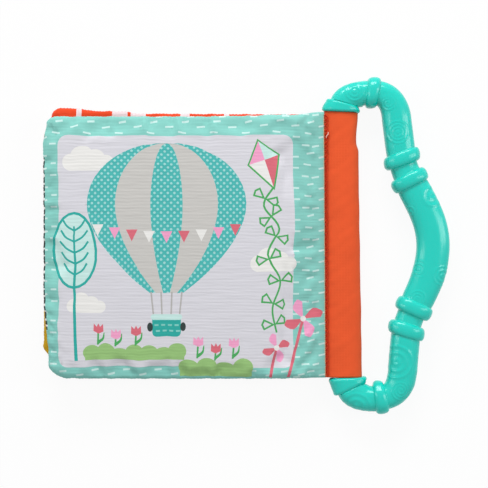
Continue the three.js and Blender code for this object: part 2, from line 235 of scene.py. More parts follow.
def press_out(leaf, most_outward):
    """Moves in mm on a grid of places, for the front and the back of a leaf."""
    columns, rows = (round(length / CLOTH_STEP) for length in (leaf.width, PAGE_HEIGHT))
    from_spine, across = np.meshgrid(np.linspace(0, leaf.width, columns + 1), np.linspace(-1, 1, rows + 1),
                                     indexing="ij")
    front, back = (leaf_surface(leaf, from_spine, across, side) for side in (1, -1))
    moves = {1: np.zeros_like(front), -1: np.zeros_like(back)}

    on_seam = np.zeros(front.shape[:2], bool)
    on_seam[-1, :] = on_seam[:, 0] = on_seam[:, -1] = True
    front_index = np.arange(front[..., 0].size).reshape(on_seam.shape)
    back_index = np.where(on_seam, front_index, front_index + front_index.size)
    start = np.concatenate([front.reshape(-1, 3), back.reshape(-1, 3)])
    faces = []
    for i in range(columns):
        for j in range(rows):
            corners = ((i, j), (i, j + 1), (i + 1, j + 1), (i + 1, j))
            faces += [[front_index[corner] for corner in corners], [back_index[corner] for corner in corners[::-1]]]
    faces += [[front_index[0, j + 1], front_index[0, j], back_index[0, j], back_index[0, j + 1]]
              for j in range(rows)]
    used = sorted({int(index) for face in faces for index in face})
    renumbered = {old: new for new, old in enumerate(used)}
    faces = [list(dict.fromkeys(renumbered[index] for index in face)) for face in faces]
    cloth = mesh_object("pressed_leaf", start[used] * MM, faces)

    held = np.zeros(len(start), bool)
    held[: on_seam.size] = on_seam.ravel()
    near_spine = (from_spine < CLOTH_HELD).ravel()
    held |= np.concatenate([near_spine, near_spine])
    sewn = cloth.vertex_groups.new(name="sewn")
    sewn.add([renumbered[index] for index in used if held[index]], 1.0, "REPLACE")
    cloth.modifiers.new("Cloth", "CLOTH")
    simulation = cloth.modifiers["Cloth"]
    for name, value in CLOTH_SETTINGS.items():
        setattr(simulation.settings, name, value)
    simulation.settings.effector_weights.gravity = 0
    simulation.point_cache.frame_start = 1
    simulation.point_cache.frame_end = CLOTH_FRAMES
    for step in range(1, CLOTH_FRAMES + 1):
        bpy.context.scene.frame_set(step)
    pressed = cloth.evaluated_get(bpy.context.evaluated_depsgraph_get())
    places = np.empty(len(used) * 3)
    pressed.data.vertices.foreach_get("co", places)
    bpy.data.objects.remove(cloth)
    bpy.context.scene.frame_set(1)

    moved = np.zeros_like(start)
    moved[used] = places.reshape(-1, 3) / MM - start[used]
    for side, index in ((1, front_index), (-1, back_index)):
        move = moved[index]
        outward = side * move[..., 2]
        move[..., 2] = side * np.clip(outward, -MOST_INWARD, most_outward[side])
        move[..., :2] = np.clip(move[..., :2], -MOST_SIDEWAYS, MOST_SIDEWAYS)
        moves[side] = move
    return moves


def taken_over(grid, leaf, from_spine, across):
    """The moves between the grid's places, on smooth curves through them."""
    columns, rows = grid.shape[:2]
    u = from_spine / leaf.width * (columns - 1)
    v = (across + 1) / 2 * (rows - 1)
    i = np.clip(np.floor(u).astype(int), 0, columns - 2)
    j = np.clip(np.floor(v).astype(int), 0, rows - 2)

    total = 0
    for a, along in enumerate(spline_weights(u - i)):
        for b, over in enumerate(spline_weights(v - j)):
            near = grid[np.clip(i + a - 1, 0, columns - 1), np.clip(j + b - 1, 0, rows - 1)]
            total = total + (along * over)[..., None] * near
    return total


# Print: each page is a list of inks and outlines in mm from the middle of the page, the last one uppermost. The
# panel's cloth is cut along the outlines, so that each face takes one ink.

INKS = {
    "mint": "8bd3c9", "pale_mint": "cdefea", "lilac_grey": "dfdee5", "warm_grey": "cfcdc9", "grey_line": "bab8b6",
    "dotted_teal": "4fbdb9", "teal": "2fafa6", "meadow": "9bc77e", "leaf_green": "4fae62", "coral": "e0707f",
    "pink": "f9a8cf", "white": "f2f1ee", "charcoal": "34403f", "orange": "e8481f", "mustard": "ddb022",
    "raw_edge": "d9dcb2", "blush": "eed9dc",
}
DOTTED_INKS = ("dotted_teal",)


def linear(hexadecimal):
    """An sRGB colour such as 8bd3c9 as linear red, green, blue and 1."""
    shares = (int(hexadecimal[at:at + 2], 16) / 255 for at in (0, 2, 4))
    return [share / 12.92 if share <= 0.04045 else ((share + 0.055) / 1.055) ** 2.4 for share in shares] + [1]


def spin(points, angle, centre):
    turn = np.array([[math.cos(angle), math.sin(angle)], [-math.sin(angle), math.cos(angle)]])
    return (np.array(points) - centre) @ turn + centre


def arc(x, y, radius, angles):
    return as_points(x + radius * np.cos(angles), y + radius * np.sin(angles))


def oval(x, y, radius_x, radius_y=None, tilt=0, steps=24):
    angles = np.arange(steps) * 2 * math.pi / steps
    radius_y = radius_x if radius_y is None else radius_y
    points = as_points(x + radius_x * np.cos(angles), y + radius_y * np.sin(angles))
    return spin(points, math.radians(tilt), (x, y))


def bar(x, y, length, width, tilt=0):
    corners = ((-1, -1), (1, -1), (1, 1), (-1, 1))
    points = [(x + length / 2 * a, y + width / 2 * b) for a, b in corners]
    return spin(points, math.radians(tilt), (x, y))


def rounded_box(left, foot, right, head, radius):
    angles = np.linspace(0, math.pi / 2, 6)
    middles = ((right - radius, head - radius), (left + radius, head - radius), (left + radius, foot + radius),
               (right - radius, foot + radius))
    return np.concatenate([arc(*middle, radius, angles + turn * math.pi / 2) for turn, middle in enumerate(middles)])


def curve(*points, steps=6):
    """A smooth line through points."""
    points = np.array(points, float)
    padded = np.concatenate([[2 * points[0] - points[1]], points, [2 * points[-1] - points[-2]]])
    line = [sum(share * near for share, near in zip(spline_weights(step / steps), padded[at:at + 4]))
            for at in range(len(points) - 1) for step in range(steps)]
    return np.array(line + [points[-1]])


def ribbon(line, width, end_width=None):
    """A line drawn with a pen of that width."""
    line = np.array(line, float)
    along = unit(np.gradient(line, axis=0))
    half = np.linspace(width, width if end_width is None else end_width, len(line))[:, None] / 2
    aside = as_points(-along[:, 1], along[:, 0]) * half
    return np.concatenate([line + aside, (line - aside)[::-1]])


DASH_LENGTH = 3.2
DASH_WIDTH = 0.8
DASH_REPEAT = 14.3


def framed_page():
    """A grey panel in a border with short hand-drawn dashes that repeat round it."""
    row = ((1.9, -56.7, 0, 5), (9.4, -58.4, 0, 7), (0, 56.9, 0, 6), (6.9, 54.8, 0.5, 6), (-1.5, 51.8, 0.4, -7),
           (2.4, 59.0, 0, 3))
    for step in range(8):
        left = -57.1 + step * DASH_REPEAT * 1.01
        for x, y, longer, tilt in row[:5 if step < 3 else 6]:
            yield "pale_mint", bar(left + x, y, DASH_LENGTH + longer, DASH_WIDTH, tilt)
    spine_side = ((55.8, 0, 0), (60.3, -0.2, 10), (58.0, -3.5, 14), (51.4, -5.5, 0), (63.3, -5.2, 12),
                  (56.8, -8.9, -4), (51.4, -10.6, 0), (63.3, -10.3, 12))
    fore_side = ((-59.6, 0.4, 3, 0), (-63.2, 3.4, 1.6, 20), (-63.2, -4.9, 1.6, 0), (-59.5, -8.5, 2.6, 0))
    for step in range(-1, 8):
        head = 46.1 - step * DASH_REPEAT
        for x, y, tilt in spine_side:
            if head + y < 50 or x > 53:
                yield "pale_mint", bar(x, head + y, DASH_LENGTH, DASH_WIDTH, tilt)
        for x, y, length, tilt in fore_side[:3 if step < 0 else 4]:
            yield "pale_mint", bar(x, head + y, length, DASH_WIDTH, tilt)
    yield "lilac_grey", rounded_box(-57.3, -55.2, 50.3, 50.4, 4.6)


def cloud(x, y, size):
    for right, up, radius in ((-1.25, 0, 0.62), (-0.5, 0.38, 0.82), (0.45, 0.2, 0.7), (1.2, -0.05, 0.55)):
        yield "white", oval(x + right * size, y + up * size, radius * size)
    yield "white", rounded_box(x - 1.6 * size, y - 0.62 * size, x + 1.55 * size, y + 0.1 * size, 0.3 * size)


def hedge(left, right, foot, height):
    count = round((right - left) / (0.85 * height))
    for bump in range(count):
        x = left + (bump + 0.5) * (right - left) / count
        tall = height * (0.86 + 0.14 * math.sin(2.3 * bump))
        yield "meadow", oval(x, foot + tall * 0.5, height * 0.52, tall * 0.5)
    yield "meadow", bar((left + right) / 2, foot + height * 0.25, right - left, height * 0.5)


def balloon(x, head, foot, reach):
    """A hot-air balloon with gores and flags, its ropes and its basket."""
    share = (1 - np.cos(np.linspace(0, math.pi, 26))) / 2
    widest = 0.42
    upper = np.sqrt(np.maximum(1 - ((share - widest) / widest) ** 2, 0))
    lower = 1 - 0.8 * np.clip((share - widest) / (1 - widest), 0, 1) ** 1.8
    width = reach * np.where(share < widest, upper, lower)
    y = head - (head - foot) * share
    seams = (-1, -0.64, -0.2, 0.2, 0.64, 1)
    for gore, sides in enumerate(zip(seams, seams[1:])):
        left, right = (as_points(x + side * width, y) for side in sides)
        yield ("dotted_teal", "warm_grey")[gore % 2], np.concatenate([left, right[-2:0:-1]])
    for flag in range(9):
        at = flag / 8 * 2 - 1
        middle = x + 0.86 * reach * at
        droop = head - (head - foot) * 0.58 - 3.2 * (1 - at**2)
        yield ("white", "pink", "coral")[flag % 3], [(middle - 2.6, droop + 2.2), (middle, droop - 3),
                                                     (middle + 2.6, droop + 2.2)]
    for at in (-1, -0.35, 0.35, 1):
        yield "grey_line", ribbon([(x + at * 0.19 * reach, foot + 0.6), (x + at * 0.16 * reach, foot - 10.5)], 0.7)
    yield "teal", rounded_box(x - 6.4, foot - 20, x + 6.4, foot - 10, 2)
    yield "pale_mint", rounded_box(x - 7, foot - 12.2, x + 7, foot - 9.6, 1.2)
    for row in range(2):
        for brick in range(4):
            yield "mint", bar(x - 4.5 + 3 * brick + 0.6 * row, foot - 14.6 - 2.7 * row, 1.8, 0.8)
    for side in (-1, 1):
        yield "charcoal", oval(x + side * 7.4, foot - 15.5, 1.3, 2.1, steps=14)


def kite(x, y):
    """A kite with a long tail and its bows."""
    outline = spin([(x, y + 11), (x - 7.5, y + 2), (x, y - 11), (x + 7.5, y + 2)], math.radians(18), (x, y))
    middle = (outline[1] + outline[3]) / 2
    yield "leaf_green", outline + (outline - middle) * 0.12
    for side, ink in enumerate(("pink", "white", "coral", "pale_mint")):
        yield ink, [outline[side], outline[(side + 1) % 4], middle]
    bends = ((-1, -19), (6, -29), (1, -41), (7, -53), (3, -65), (5, -76))
    tail = curve(outline[2], *((x + right, y + up) for right, up in bends))
    yield "leaf_green", ribbon(tail, 0.9)
    for at in range(4, len(tail) - 1, 5):
        along = tail[at + 1] - tail[at - 1]
        angle = math.degrees(math.atan2(along[1], along[0])) + 90
        for side in (-1, 1):
            bow = np.array([(0, 0), (5.2, 2.6), (6.4, 0), (5.2, -2.6)]) * (side, 1)
            bow = spin(bow + tail[at], math.radians(angle + 14 * side), tail[at])
            yield "leaf_green", bow
            yield "lilac_grey", bow + (bow.mean(axis=0) - bow) * 0.42


def round_tree(x, foot):
    """A tree with an outlined crown and its branches."""
    middle = foot + 50
    yield "teal", oval(x, middle, 10.5, 17.5)
    yield "pale_mint", oval(x, middle, 9.3, 16.3)
    yield "teal", ribbon([(x + 1, foot), (x, middle - 10), (x, middle + 11)], 1.5, 0.8)
    for step in range(5):
        level = middle - 11 + 5 * step
        reach = 6.6 * math.sqrt(1 - ((level - middle + 1) / 17) ** 2)
        for side in (-reach, reach):
            yield "teal", ribbon(curve((x, level), (x + side * 0.6, level + 2), (x + side, level + 5.2), steps=4), 0.9)


def pinwheel(x, y, radius, foot):
    yield "coral", ribbon([(x, y), foot], 1.3)
    blade = np.array([(0, 0), (0.5, 0.55), (1, 0.35), (0.9, 0.05)]) * radius
    for quarter in range(4):
        yield (("coral", "pink")[quarter % 2],
               spin(curve(*blade, steps=3) + (x, y), quarter * math.pi / 2, (x, y)))
    yield "white", oval(x, y, 1.3, steps=12)


def tulip(x, foot, height, ink):
    yield "leaf_green", ribbon([(x, foot), (x + 0.4, foot + height)], 0.8)
    yield "leaf_green", ribbon(curve((x, foot + 1), (x + 2.4, foot + 3), (x + 3, foot + 6), steps=4), 1.6, 0.4)
    yield ink, np.array([(-1.9, -0.5), (0.4, -1.6), (2.7, -0.5), (2.5, 3), (1.2, 1.6), (0.4, 3.2), (-0.4, 1.6),
                         (-1.7, 3)]) + (x, foot + height)


def raw_spine_edge():
    for step in range(24):
        y = -57.5 + 5 * step
        yield "raw_edge", bar(64.6 + seam_lean(PAGE_MIDDLE_Y + y), y, 0.7, 4.4 - 0.9 * math.sin(2 * step))


def fore_edge_painted_shadow(leaf, low, high):
    """A dark band painted along the fore-edge as the shadow where its seam rolls over, with white dashes of print on
    it.
    """
    across = np.arange(low, high, 2.0) * 2 / PAGE_HEIGHT
    edge = as_points(*leaf_plan(leaf, leaf.width, across)) - (PAGE_MIDDLE_X, PAGE_MIDDLE_Y)
    # Painted shadow: the charcoal ribbon stands for the shade where the rolled fore-edge meets the leaf below.
    yield "charcoal", ribbon(edge, 1.9)
    for x, at in edge[1::2]:
        yield "white", bar(x, at + 0.3 * math.sin(at), 1.9, 0.9 + 0.3 * math.sin(3 * at))


def cover_page(leaf):
    """Page 1: a balloon over a garden in the framed panel, with a kite and pinwheels towards the spine."""
    flowers = ((-39, -45, 7, "coral"), (-31, -45.5, 5, "pink"), (-22, -45, 6, "coral"), (6, -51, 7, "pink"),
               (14, -52, 5, "coral"), (22, -51, 6.5, "pink"))
    return [*framed_page(), *fore_edge_painted_shadow(leaf, -43, 46), *cloud(-43, 38, 6.5), *cloud(-44, -27, 5),
            *cloud(41, -8, 6), *round_tree(-50, -52), *balloon(-8, 47, -21, 36), *hedge(-45, 0, -52, 8),
            *hedge(-2, 31, -59.3, 9), *(part for flower in flowers for part in tulip(*flower)), *kite(37, 37),
            *pinwheel(55, -33, 8.5, (47.5, -59.5)), *pinwheel(42, -46, 6.5, (39.5, -59.5)), *raw_spine_edge()]


def night_page():
    """Page 2: a white dashed edge round a moon and stars."""
    for step in range(30):
        yield "white", bar(-63.6, -56 + step * 4, 2.2, 1.5)
        for y in (58.6, -58.6):
            yield "white", bar(-60 + step * 4.2, y, 1.7, 2.4)
    yield "mustard", oval(-12, 8, 27, steps=40)
    yield "charcoal", oval(-1, 15, 22, steps=36)
    for x, y, size in ((24, 28, 6), (36, -8, 5), (-46, 36, 5), (-44, -34, 6), (12, -36, 7), (8, 14, 4), (40, 44, 4)):
        yield ("white", "coral", "pale_mint")[size % 3], [
            spin([(x, y + size * (0.45 if point % 2 else 1))], point * math.pi / 5, (x, y))[0] for point in range(10)]


def flower_page():
    """Page 3: pale bars along the edges of an orange page, and a flower."""
    for x, width in ((-48.6, 2.4), (-29.8, 7), (-21.3, 7), (0.2, 4.2), (19.4, 2.4), (38, 3)):
        yield "blush", bar(x, 58, width, 12)
    for step in range(7):
        yield "white", bar(-50 + 18 * step, -58, 3.2, 7)
    for petal in range(8):
        angle = petal * math.pi / 4
        yield "white", oval(-8 + 21 * math.cos(angle), 21 * math.sin(angle), 12.5, 8, math.degrees(-angle))
    yield "mustard", oval(-8, 0, 12, steps=30)
    yield "charcoal", oval(-8, 0, 5)


def ball_page():
    """Page 4: a striped ball on teal dots."""
    for row in range(10):
        for column in range(11):
            yield "teal", oval(-58 + 11.6 * column + 5.8 * (row % 2), -54 + 12 * row, 1.6, steps=12)
    for sector, ink in enumerate(("coral", "white", "mustard", "white", "teal", "white")):
        rim = arc(-6, 0, 32, np.radians(np.linspace(60 * sector, 60 * sector + 60, 12)))
        yield ink, np.concatenate([[(-6, 0)], rim])
    yield "pink", oval(-6, 0, 6)


def boat_page():
    """Page 5: a boat on waves."""
    for row in range(4):
        yield "white", ribbon([(x, -30 - 8 * row + 1.8 * math.sin(x / 4 + row)) for x in range(-60, 61, 2)], 1.8)
    yield "charcoal", [(-40, -12), (28, -12), (16, -26), (-30, -26)]
    yield "white", [(-8, -8), (-8, 42), (-36, -8)]
    yield "coral", [(-4, -8), (24, -8), (-4, 34)]
    yield "charcoal", bar(-6, 16, 1.8, 56)
    yield from cloud(34, 42, 6)


def rainbow_page():
    """Page 6: a rainbow between clouds in the framed panel."""
    yield from framed_page()
    for radius, ink in ((38, "coral"), (31, "mustard"), (24, "leaf_green"), (17, "dotted_teal"), (10, "lilac_grey")):
        yield ink, arc(-4, -22, radius, np.linspace(0, math.pi, 36))
    yield from (*cloud(-30, -22, 9), *cloud(22, -22, 9), *raw_spine_edge())


def outline_places(leaf):
    """Places round the leaf from the spine's head corner, counter-clockwise in plan."""
    straight = np.arange(0, leaf.width - CORNER_RADIUS, PLAN_STEP)
    corner = leaf.width - CORNER_RADIUS + CORNER_RADIUS * np.sin(np.linspace(0, math.pi / 2, 8))
    edge = np.concatenate([straight, corner])
    down = np.linspace(1, -1, round(PAGE_HEIGHT / PLAN_STEP))[1:-1]
    up = -down
    from_spine = np.concatenate([edge, np.full(len(down), leaf.width), edge[::-1], np.zeros(len(up))])
    across = np.concatenate([np.ones(len(edge)), down, -np.ones(len(edge)), up])
    return from_spine, across


EDGE_INSETS = (0.1, 0.35, 0.75, 1.3, 2.1, 3.2)


def plan_places(leaf):
    """Places all over the leaf: even inside, and rings close together over the rolled edges."""
    columns = np.arange(PLAN_STEP, leaf.width - 1, PLAN_STEP)
    rows = np.linspace(-1, 1, round(PAGE_HEIGHT / PLAN_STEP))[1:-1]
    places = [(f, a) for f in columns for a in rows]
    for inset in EDGE_INSETS:
        places += [(leaf.width - inset, a * (1 - inset / PAGE_HEIGHT)) for a in rows]
        for f in np.arange(PLAN_STEP / 2, leaf.width - inset, PLAN_STEP):
            share = 1 - inset / half_height(leaf, f)
            places += [(f, share), (f, -share)]
    from_spine, across = np.array(places).T
    return as_points(*leaf_plan(leaf, from_spine, across))


def with_short_sides(outline):
    """The outline with its points at most PLAN_STEP apart, so that the panel bends along it."""
    points = []
    for near, far in zip(outline, np.roll(outline, -1, axis=0)):
        count = math.ceil(np.linalg.norm(far - near) / PLAN_STEP)
        points += [near + (far - near) * step / count for step in range(count)]
    return np.array(points)


CUT_INSIDE, CUT_TOLERANCE = 1, 1e-4


def cut_panel(leaf, page, base_ink):
    """The panel's plan cut along the print: points, triangles, the ink of each, and the points round the edge.

    Each triangle is owned by the outlines that it lies in, and the last one of them gives it its ink.
    """
    shapes = [(base_ink, as_points(*leaf_plan(leaf, *outline_places(leaf))))]
    shapes += [(ink, with_short_sides(np.array(points) + (PAGE_MIDDLE_X, PAGE_MIDDLE_Y))) for ink, points in page]
    points, outlines = [], []
    for _, shape in shapes:
        x, y = shape.T
        area = np.sum(x * np.roll(y, -1) - y * np.roll(x, -1))
        ordered = shape if area > 0 else shape[::-1]
        outlines.append(list(range(len(points), len(points) + len(shape))))
        points += [tuple(point) for point in ordered]
    points += [tuple(point) for point in plan_places(leaf)]
    plan, _, faces, _, _, owners = delaunay_2d_cdt(points, [], outlines, CUT_INSIDE, CUT_TOLERANCE, True)
    kept = [(face, shapes[max(owner)][0]) for face, owner in zip(faces, owners) if 0 in owner]
    triangles = np.array([face for face, _ in kept])
    inks = [ink for _, ink in kept]
    plan = np.array([tuple(point) for point in plan])
    used, triangles = np.unique(triangles, return_inverse=True)
    triangles = triangles.reshape(-1, 3)
    plan = plan[used]

    directed = {(a, b) for face in triangles for a, b in zip(face, np.roll(face, -1))}
    onward = {a: b for a, b in directed if (b, a) not in directed}
    corner = max(onward, key=lambda at: plan[at].sum())
    edge = [corner]
    while onward[edge[-1]] != corner:
        edge.append(onward[edge[-1]])
    return plan, triangles, inks, edge


def round_share(leaf, from_spine, across):
    """How far round the outline a place on it is, from 0 to 4, starting at the spine's head corner."""
    out = from_spine / leaf.width
    side = int(np.argmin(np.round([1 - across, 1 - out, 1 + across, out], 3)))
    return side + (out, (1 - across) / 2, 1 - out, (1 + across) / 2)[side]


def wall_between(front, back, front_shares, back_shares):
    """Triangles that join the two panels' edges, which have different points."""
    faces = []
    i = j = 0
    while i < len(front) or j < len(back):
        front_next = front_shares[i + 1] if i + 1 < len(front) else 4 + (i >= len(front))
        back_next = back_shares[j + 1] if j + 1 < len(back) else 4 + (j >= len(back))
        a, b = front[i % len(front)], back[j % len(back)]
        if front_next <= back_next:
            faces.append((front[(i + 1) % len(front)], a, b))
            i += 1
        else:
            faces.append((a, b, back[(j + 1) % len(back)]))
            j += 1
    return faces


PAGE_UV = 100.0


def make_leaf(leaf, front_page, front_base, back_page, back_base, most_outward):
    moves = press_out(leaf, most_outward)
    vertices, faces, inks, uvs, rims, shares = [], [], [], [], [], []
    for side, page, base in ((1, front_page, front_base), (-1, back_page, back_base)):
        plan, triangles, face_inks, edge = cut_panel(leaf, page, base)
        from_spine, across = leaf_place(leaf, plan[:, 0], plan[:, 1])
        surface = leaf_surface(leaf, from_spine, across, side)
        surface = surface + taken_over(moves[side], leaf, from_spine, across)
        surface[:, 2] = np.maximum(surface[:, 2], 0)
        first = len(vertices)
        vertices += list(surface * MM)
        faces += [tuple(first + at for at in (face if side > 0 else face[::-1])) for face in triangles]
        inks += face_inks
        uvs += [tuple((point - (PAGE_MIDDLE_X, PAGE_MIDDLE_Y)) / PAGE_UV) for point in plan]
        rims.append([first + at for at in edge])
        shares.append([round_share(leaf, from_spine[at], across[at]) for at in edge])
    wall = wall_between(*rims, *shares)
    faces += wall
    inks += [front_base] * len(wall)

    made = mesh_object(f"{leaf.name}_leaf", vertices, [tuple(int(at) for at in face) for face in faces], printed_cloth)
    colours = made.data.color_attributes.new("ink", "FLOAT_COLOR", "CORNER")
    ink_values = {ink: linear(value)[:3] + [float(ink in DOTTED_INKS)] for ink, value in INKS.items()}
    per_corner = np.repeat(np.array([ink_values[ink] for ink in inks], np.float32), 3, axis=0)
    colours.data.foreach_set("color", per_corner.ravel())
    page_map = made.data.uv_layers.new(name="page")
    page_map.data.foreach_set("uv", np.array(uvs, np.float32)[np.array(faces).ravel()].ravel())
    return made


def wired(tree, made, links=(), **settings):
    """Sets up a node. Settings are its attributes or inputs by name; links are nodes, outputs or plain values."""
    for name, value in settings.items():
        if hasattr(made, name):
            setattr(made, name, value)
        else:
            made.inputs[name.replace("_", " ")].default_value = value
    for socket, source in dict(links).items():
        if isinstance(source, bpy.types.Node):
            source = source.outputs[0]
        if isinstance(source, bpy.types.NodeSocket):
            tree.links.new(source, made.inputs[socket])
        else:
            made.inputs[socket].default_value = source
    return made


def node(tree, kind, links=(), **settings):
    return wired(tree, tree.nodes.new(kind), links, **settings)


def new_material(name, **settings):
    """A material, its tree and its Principled shader with those settings."""
    material = bpy.data.materials.new(name)
    material.use_nodes = True
    tree = material.node_tree
    return material, tree, wired(tree, tree.nodes["Principled BSDF"], **settings)


def set_surface(tree, shader, colour, height, strength, depth):
    """Gives the shader its colour and a relief of that height, depth mm deep."""
    bump = node(tree, "ShaderNodeBump", {"Height": height}, Strength=strength, Distance=depth * MM)
    wired(tree, shader, {"Base Color": colour, "Normal": bump})


# Printed polyester: a matt plain weave with inks that soak in. Its fine ribs run across the page and catch a little
# light, and the film under it leaves short creases. Their shade is also painted into the print: darker in the rib
# valleys and creases, lighter on their tops.

WEAVE_RIB = 1.5
CREASE_LENGTH = 16.0
CREASE_WIDTH = 1.8
DOT_PITCH = 2.1
DOT_SHARE = 0.27
DOT_COLOUR = "a5dedb"
RIB_SHARE = 0.14


def wave_scale(pitch):
    """The Wave Texture's scale for bands of that pitch, which repeat every 2 pi / 20 of its units."""
    return 2 * math.pi / (20 * pitch)


def printed_polyester():
    material, tree, shader = new_material("printed_polyester_cloth", Roughness=0.82, Sheen_Weight=0.12,
                                          Sheen_Roughness=0.5, Specular_IOR_Level=0.25)
    page = node(tree, "ShaderNodeUVMap", uv_map="page")
    ink = node(tree, "ShaderNodeAttribute", attribute_name="ink")

    in_dots = node(tree, "ShaderNodeMapping", {"Vector": page}, Rotation=(0, 0, math.radians(45)),
                   Scale=(PAGE_UV / DOT_PITCH,) * 3)
    cell = node(tree, "ShaderNodeVectorMath", {0: in_dots}, operation="FRACTION")
    from_dot = node(tree, "ShaderNodeVectorMath", {0: cell, 1: (0.5, 0.5, 0)}, operation="SUBTRACT")
    distance = node(tree, "ShaderNodeVectorMath", {0: from_dot}, operation="LENGTH")
    in_dot = node(tree, "ShaderNodeMath", {0: distance.outputs["Value"], 1: DOT_SHARE}, operation="LESS_THAN")
    dotted = node(tree, "ShaderNodeMath", {0: in_dot, 1: ink.outputs["Alpha"]}, operation="MULTIPLY")
    printed = node(tree, "ShaderNodeMix", {"Factor": dotted, 6: ink, 7: linear(DOT_COLOUR)}, data_type="RGBA")

    ribs = node(tree, "ShaderNodeTexWave", {"Vector": page}, bands_direction="Y", Distortion=2.5, Detail=3.0,
                Detail_Scale=0.8, Scale=wave_scale(WEAVE_RIB / PAGE_UV))
    stretched = node(tree, "ShaderNodeMapping", {"Vector": page},
                     Scale=(PAGE_UV / CREASE_LENGTH, PAGE_UV / CREASE_WIDTH, 1))
    creases = node(tree, "ShaderNodeTexNoise", {"Vector": stretched}, Scale=1.0, Detail=3.0, Roughness=0.5)
    height = node(tree, "ShaderNodeMath", {0: ribs.outputs["Fac"], 1: RIB_SHARE, 2: creases},
                  operation="MULTIPLY_ADD")
    # Painted shade and highlight: the print is darkened to 0.95 in the rib valleys and creases and lightened to 1.03
    # on their tops.
    painted_weave_shade = node(tree, "ShaderNodeMapRange", {"Value": height}, From_Min=0.3, From_Max=0.85, To_Min=0.95,
                 To_Max=1.03)
    coloured = node(tree, "ShaderNodeVectorMath", {0: printed.outputs[2], "Scale": painted_weave_shade}, operation="SCALE")
    set_surface(tree, shader, coloured, height, 0.6, 0.3)
    return material


printed_cloth = printed_polyester()
OUTER_OUTWARD, INNER_OUTWARD = 1.0, 0.1

back_lie = leaf_sizes(
    "back", 0, skew=0.004, fore_tuck=0, fore_lean=0.5, head_tuck=3.0, foot_tuck=3.8, tuck_from=50,
    head_drops=((0.3, 0, 60),), spine_rise=0.3, foot_rise=1.0, foot_sag=0)
middle_lie = leaf_sizes(
    "middle", 1, skew=0.006, fore_tuck=0.45, fore_lean=0, head_tuck=3.7, foot_tuck=2.8, tuck_from=20,
    head_drops=((-1.0, 85, 94), (-1.3, 105, 121)), spine_rise=0.3, foot_rise=2.6, foot_sag=0)
cover_lie = leaf_sizes(
    "cover", 2, skew=0, fore_tuck=0, fore_lean=0, head_tuck=1.5, foot_tuck=2.6, tuck_from=22,
    head_drops=((0.4, 6, 14), (0.5, 26, 33), (0.3, 34, 60)), spine_rise=1.2, foot_rise=2.4, foot_sag=0.2)
back_leaf, middle_leaf, cover_leaf = (
    make_leaf(lie, front_page, front_base, back_page, back_base, {1: front_outward, -1: INNER_OUTWARD})
    for lie, front_page, front_base, front_outward, back_page, back_base in (
        (back_lie, boat_page(), "mustard", INNER_OUTWARD, rainbow_page(), "mint"),
        (middle_lie, flower_page(), "orange", INNER_OUTWARD, ball_page(), "white"),
        (cover_lie, cover_page(cover_lie), "mint", OUTER_OUTWARD, night_page(), "charcoal")))
for leaf_object in (back_leaf, middle_leaf, cover_leaf):
    name = leaf_object.name.removesuffix("_leaf")
    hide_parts(*(f"{name}_{layer}" for layer in
                               ("front_panel", "back_panel", "crinkle_film", "batting")))

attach(back_leaf, "book_back")
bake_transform(middle_leaf)
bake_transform(cover_leaf)

# Spine sleeve
# A strip of orange polyester cloth folded round the rod and closed in the spine seam, so it is a flattened tube with
# a straight seam side. It is a little wider at the foot, and its free fold wavers where the cloth is slack.

SLEEVE_WALL = 0.6
SLEEVE_WIDTH_HEAD = 14.9
SLEEVE_WIDTH_FOOT = SLEEVE_HIGH[0] - SLEEVE_LOW[0]
SLEEVE_SQUARENESS = 2.5
SLEEVE_ROUND_STEPS = 88
SLEEVE_LENGTH_STEP = 0.8
SLEEVE_SPARE = 0.35
SLEEVE_DENT = 0.9
DENT_FOOT, DENT_DEEPEST, DENT_HEAD = 42.5, 46.5, 59
SLEEVE_SLACK, SLEEVE_GATHERS, SLEEVE_CREASES = 0.16, 0.22, 0.10
SEAM_OVERLAP = 0.35
SLEEVE_HEAD_SLOPE, SLOPE_FROM = 0.4, 0.9
SLEEVE_FLATTENS = 0.03


def superellipse(angle, squareness):
    return (np.sign(np.cos(angle)) * np.abs(np.cos(angle)) ** (2 / squareness),
            np.sign(np.sin(angle)) * np.abs(np.sin(angle)) ** (2 / squareness))


def closed_rings(rings, joined=False):
    """Quads between rings of as many points each; the last ring joins the first, or both ends are capped."""
    count = rings.shape[1]
    faces = []
    spans = len(rings) if joined else len(rings) - 1
    for ring in range(spans):
        near, far = ring * count, (ring + 1) % len(rings) * count
        faces += [(near + j, near + (j + 1) % count, far + (j + 1) % count, far + j) for j in range(count)]
    vertices = [tuple(point) for point in rings.reshape(-1, 3)]
    if not joined:
        last = (len(rings) - 1) * count
        foot, head = len(vertices), len(vertices) + 1
        vertices += [tuple(rings[0].mean(axis=0)), tuple(rings[-1].mean(axis=0))]
        faces += [(foot, (j + 1) % count, j) for j in range(count)]
        faces += [(head, last + j, last + (j + 1) % count) for j in range(count)]
    return vertices, faces


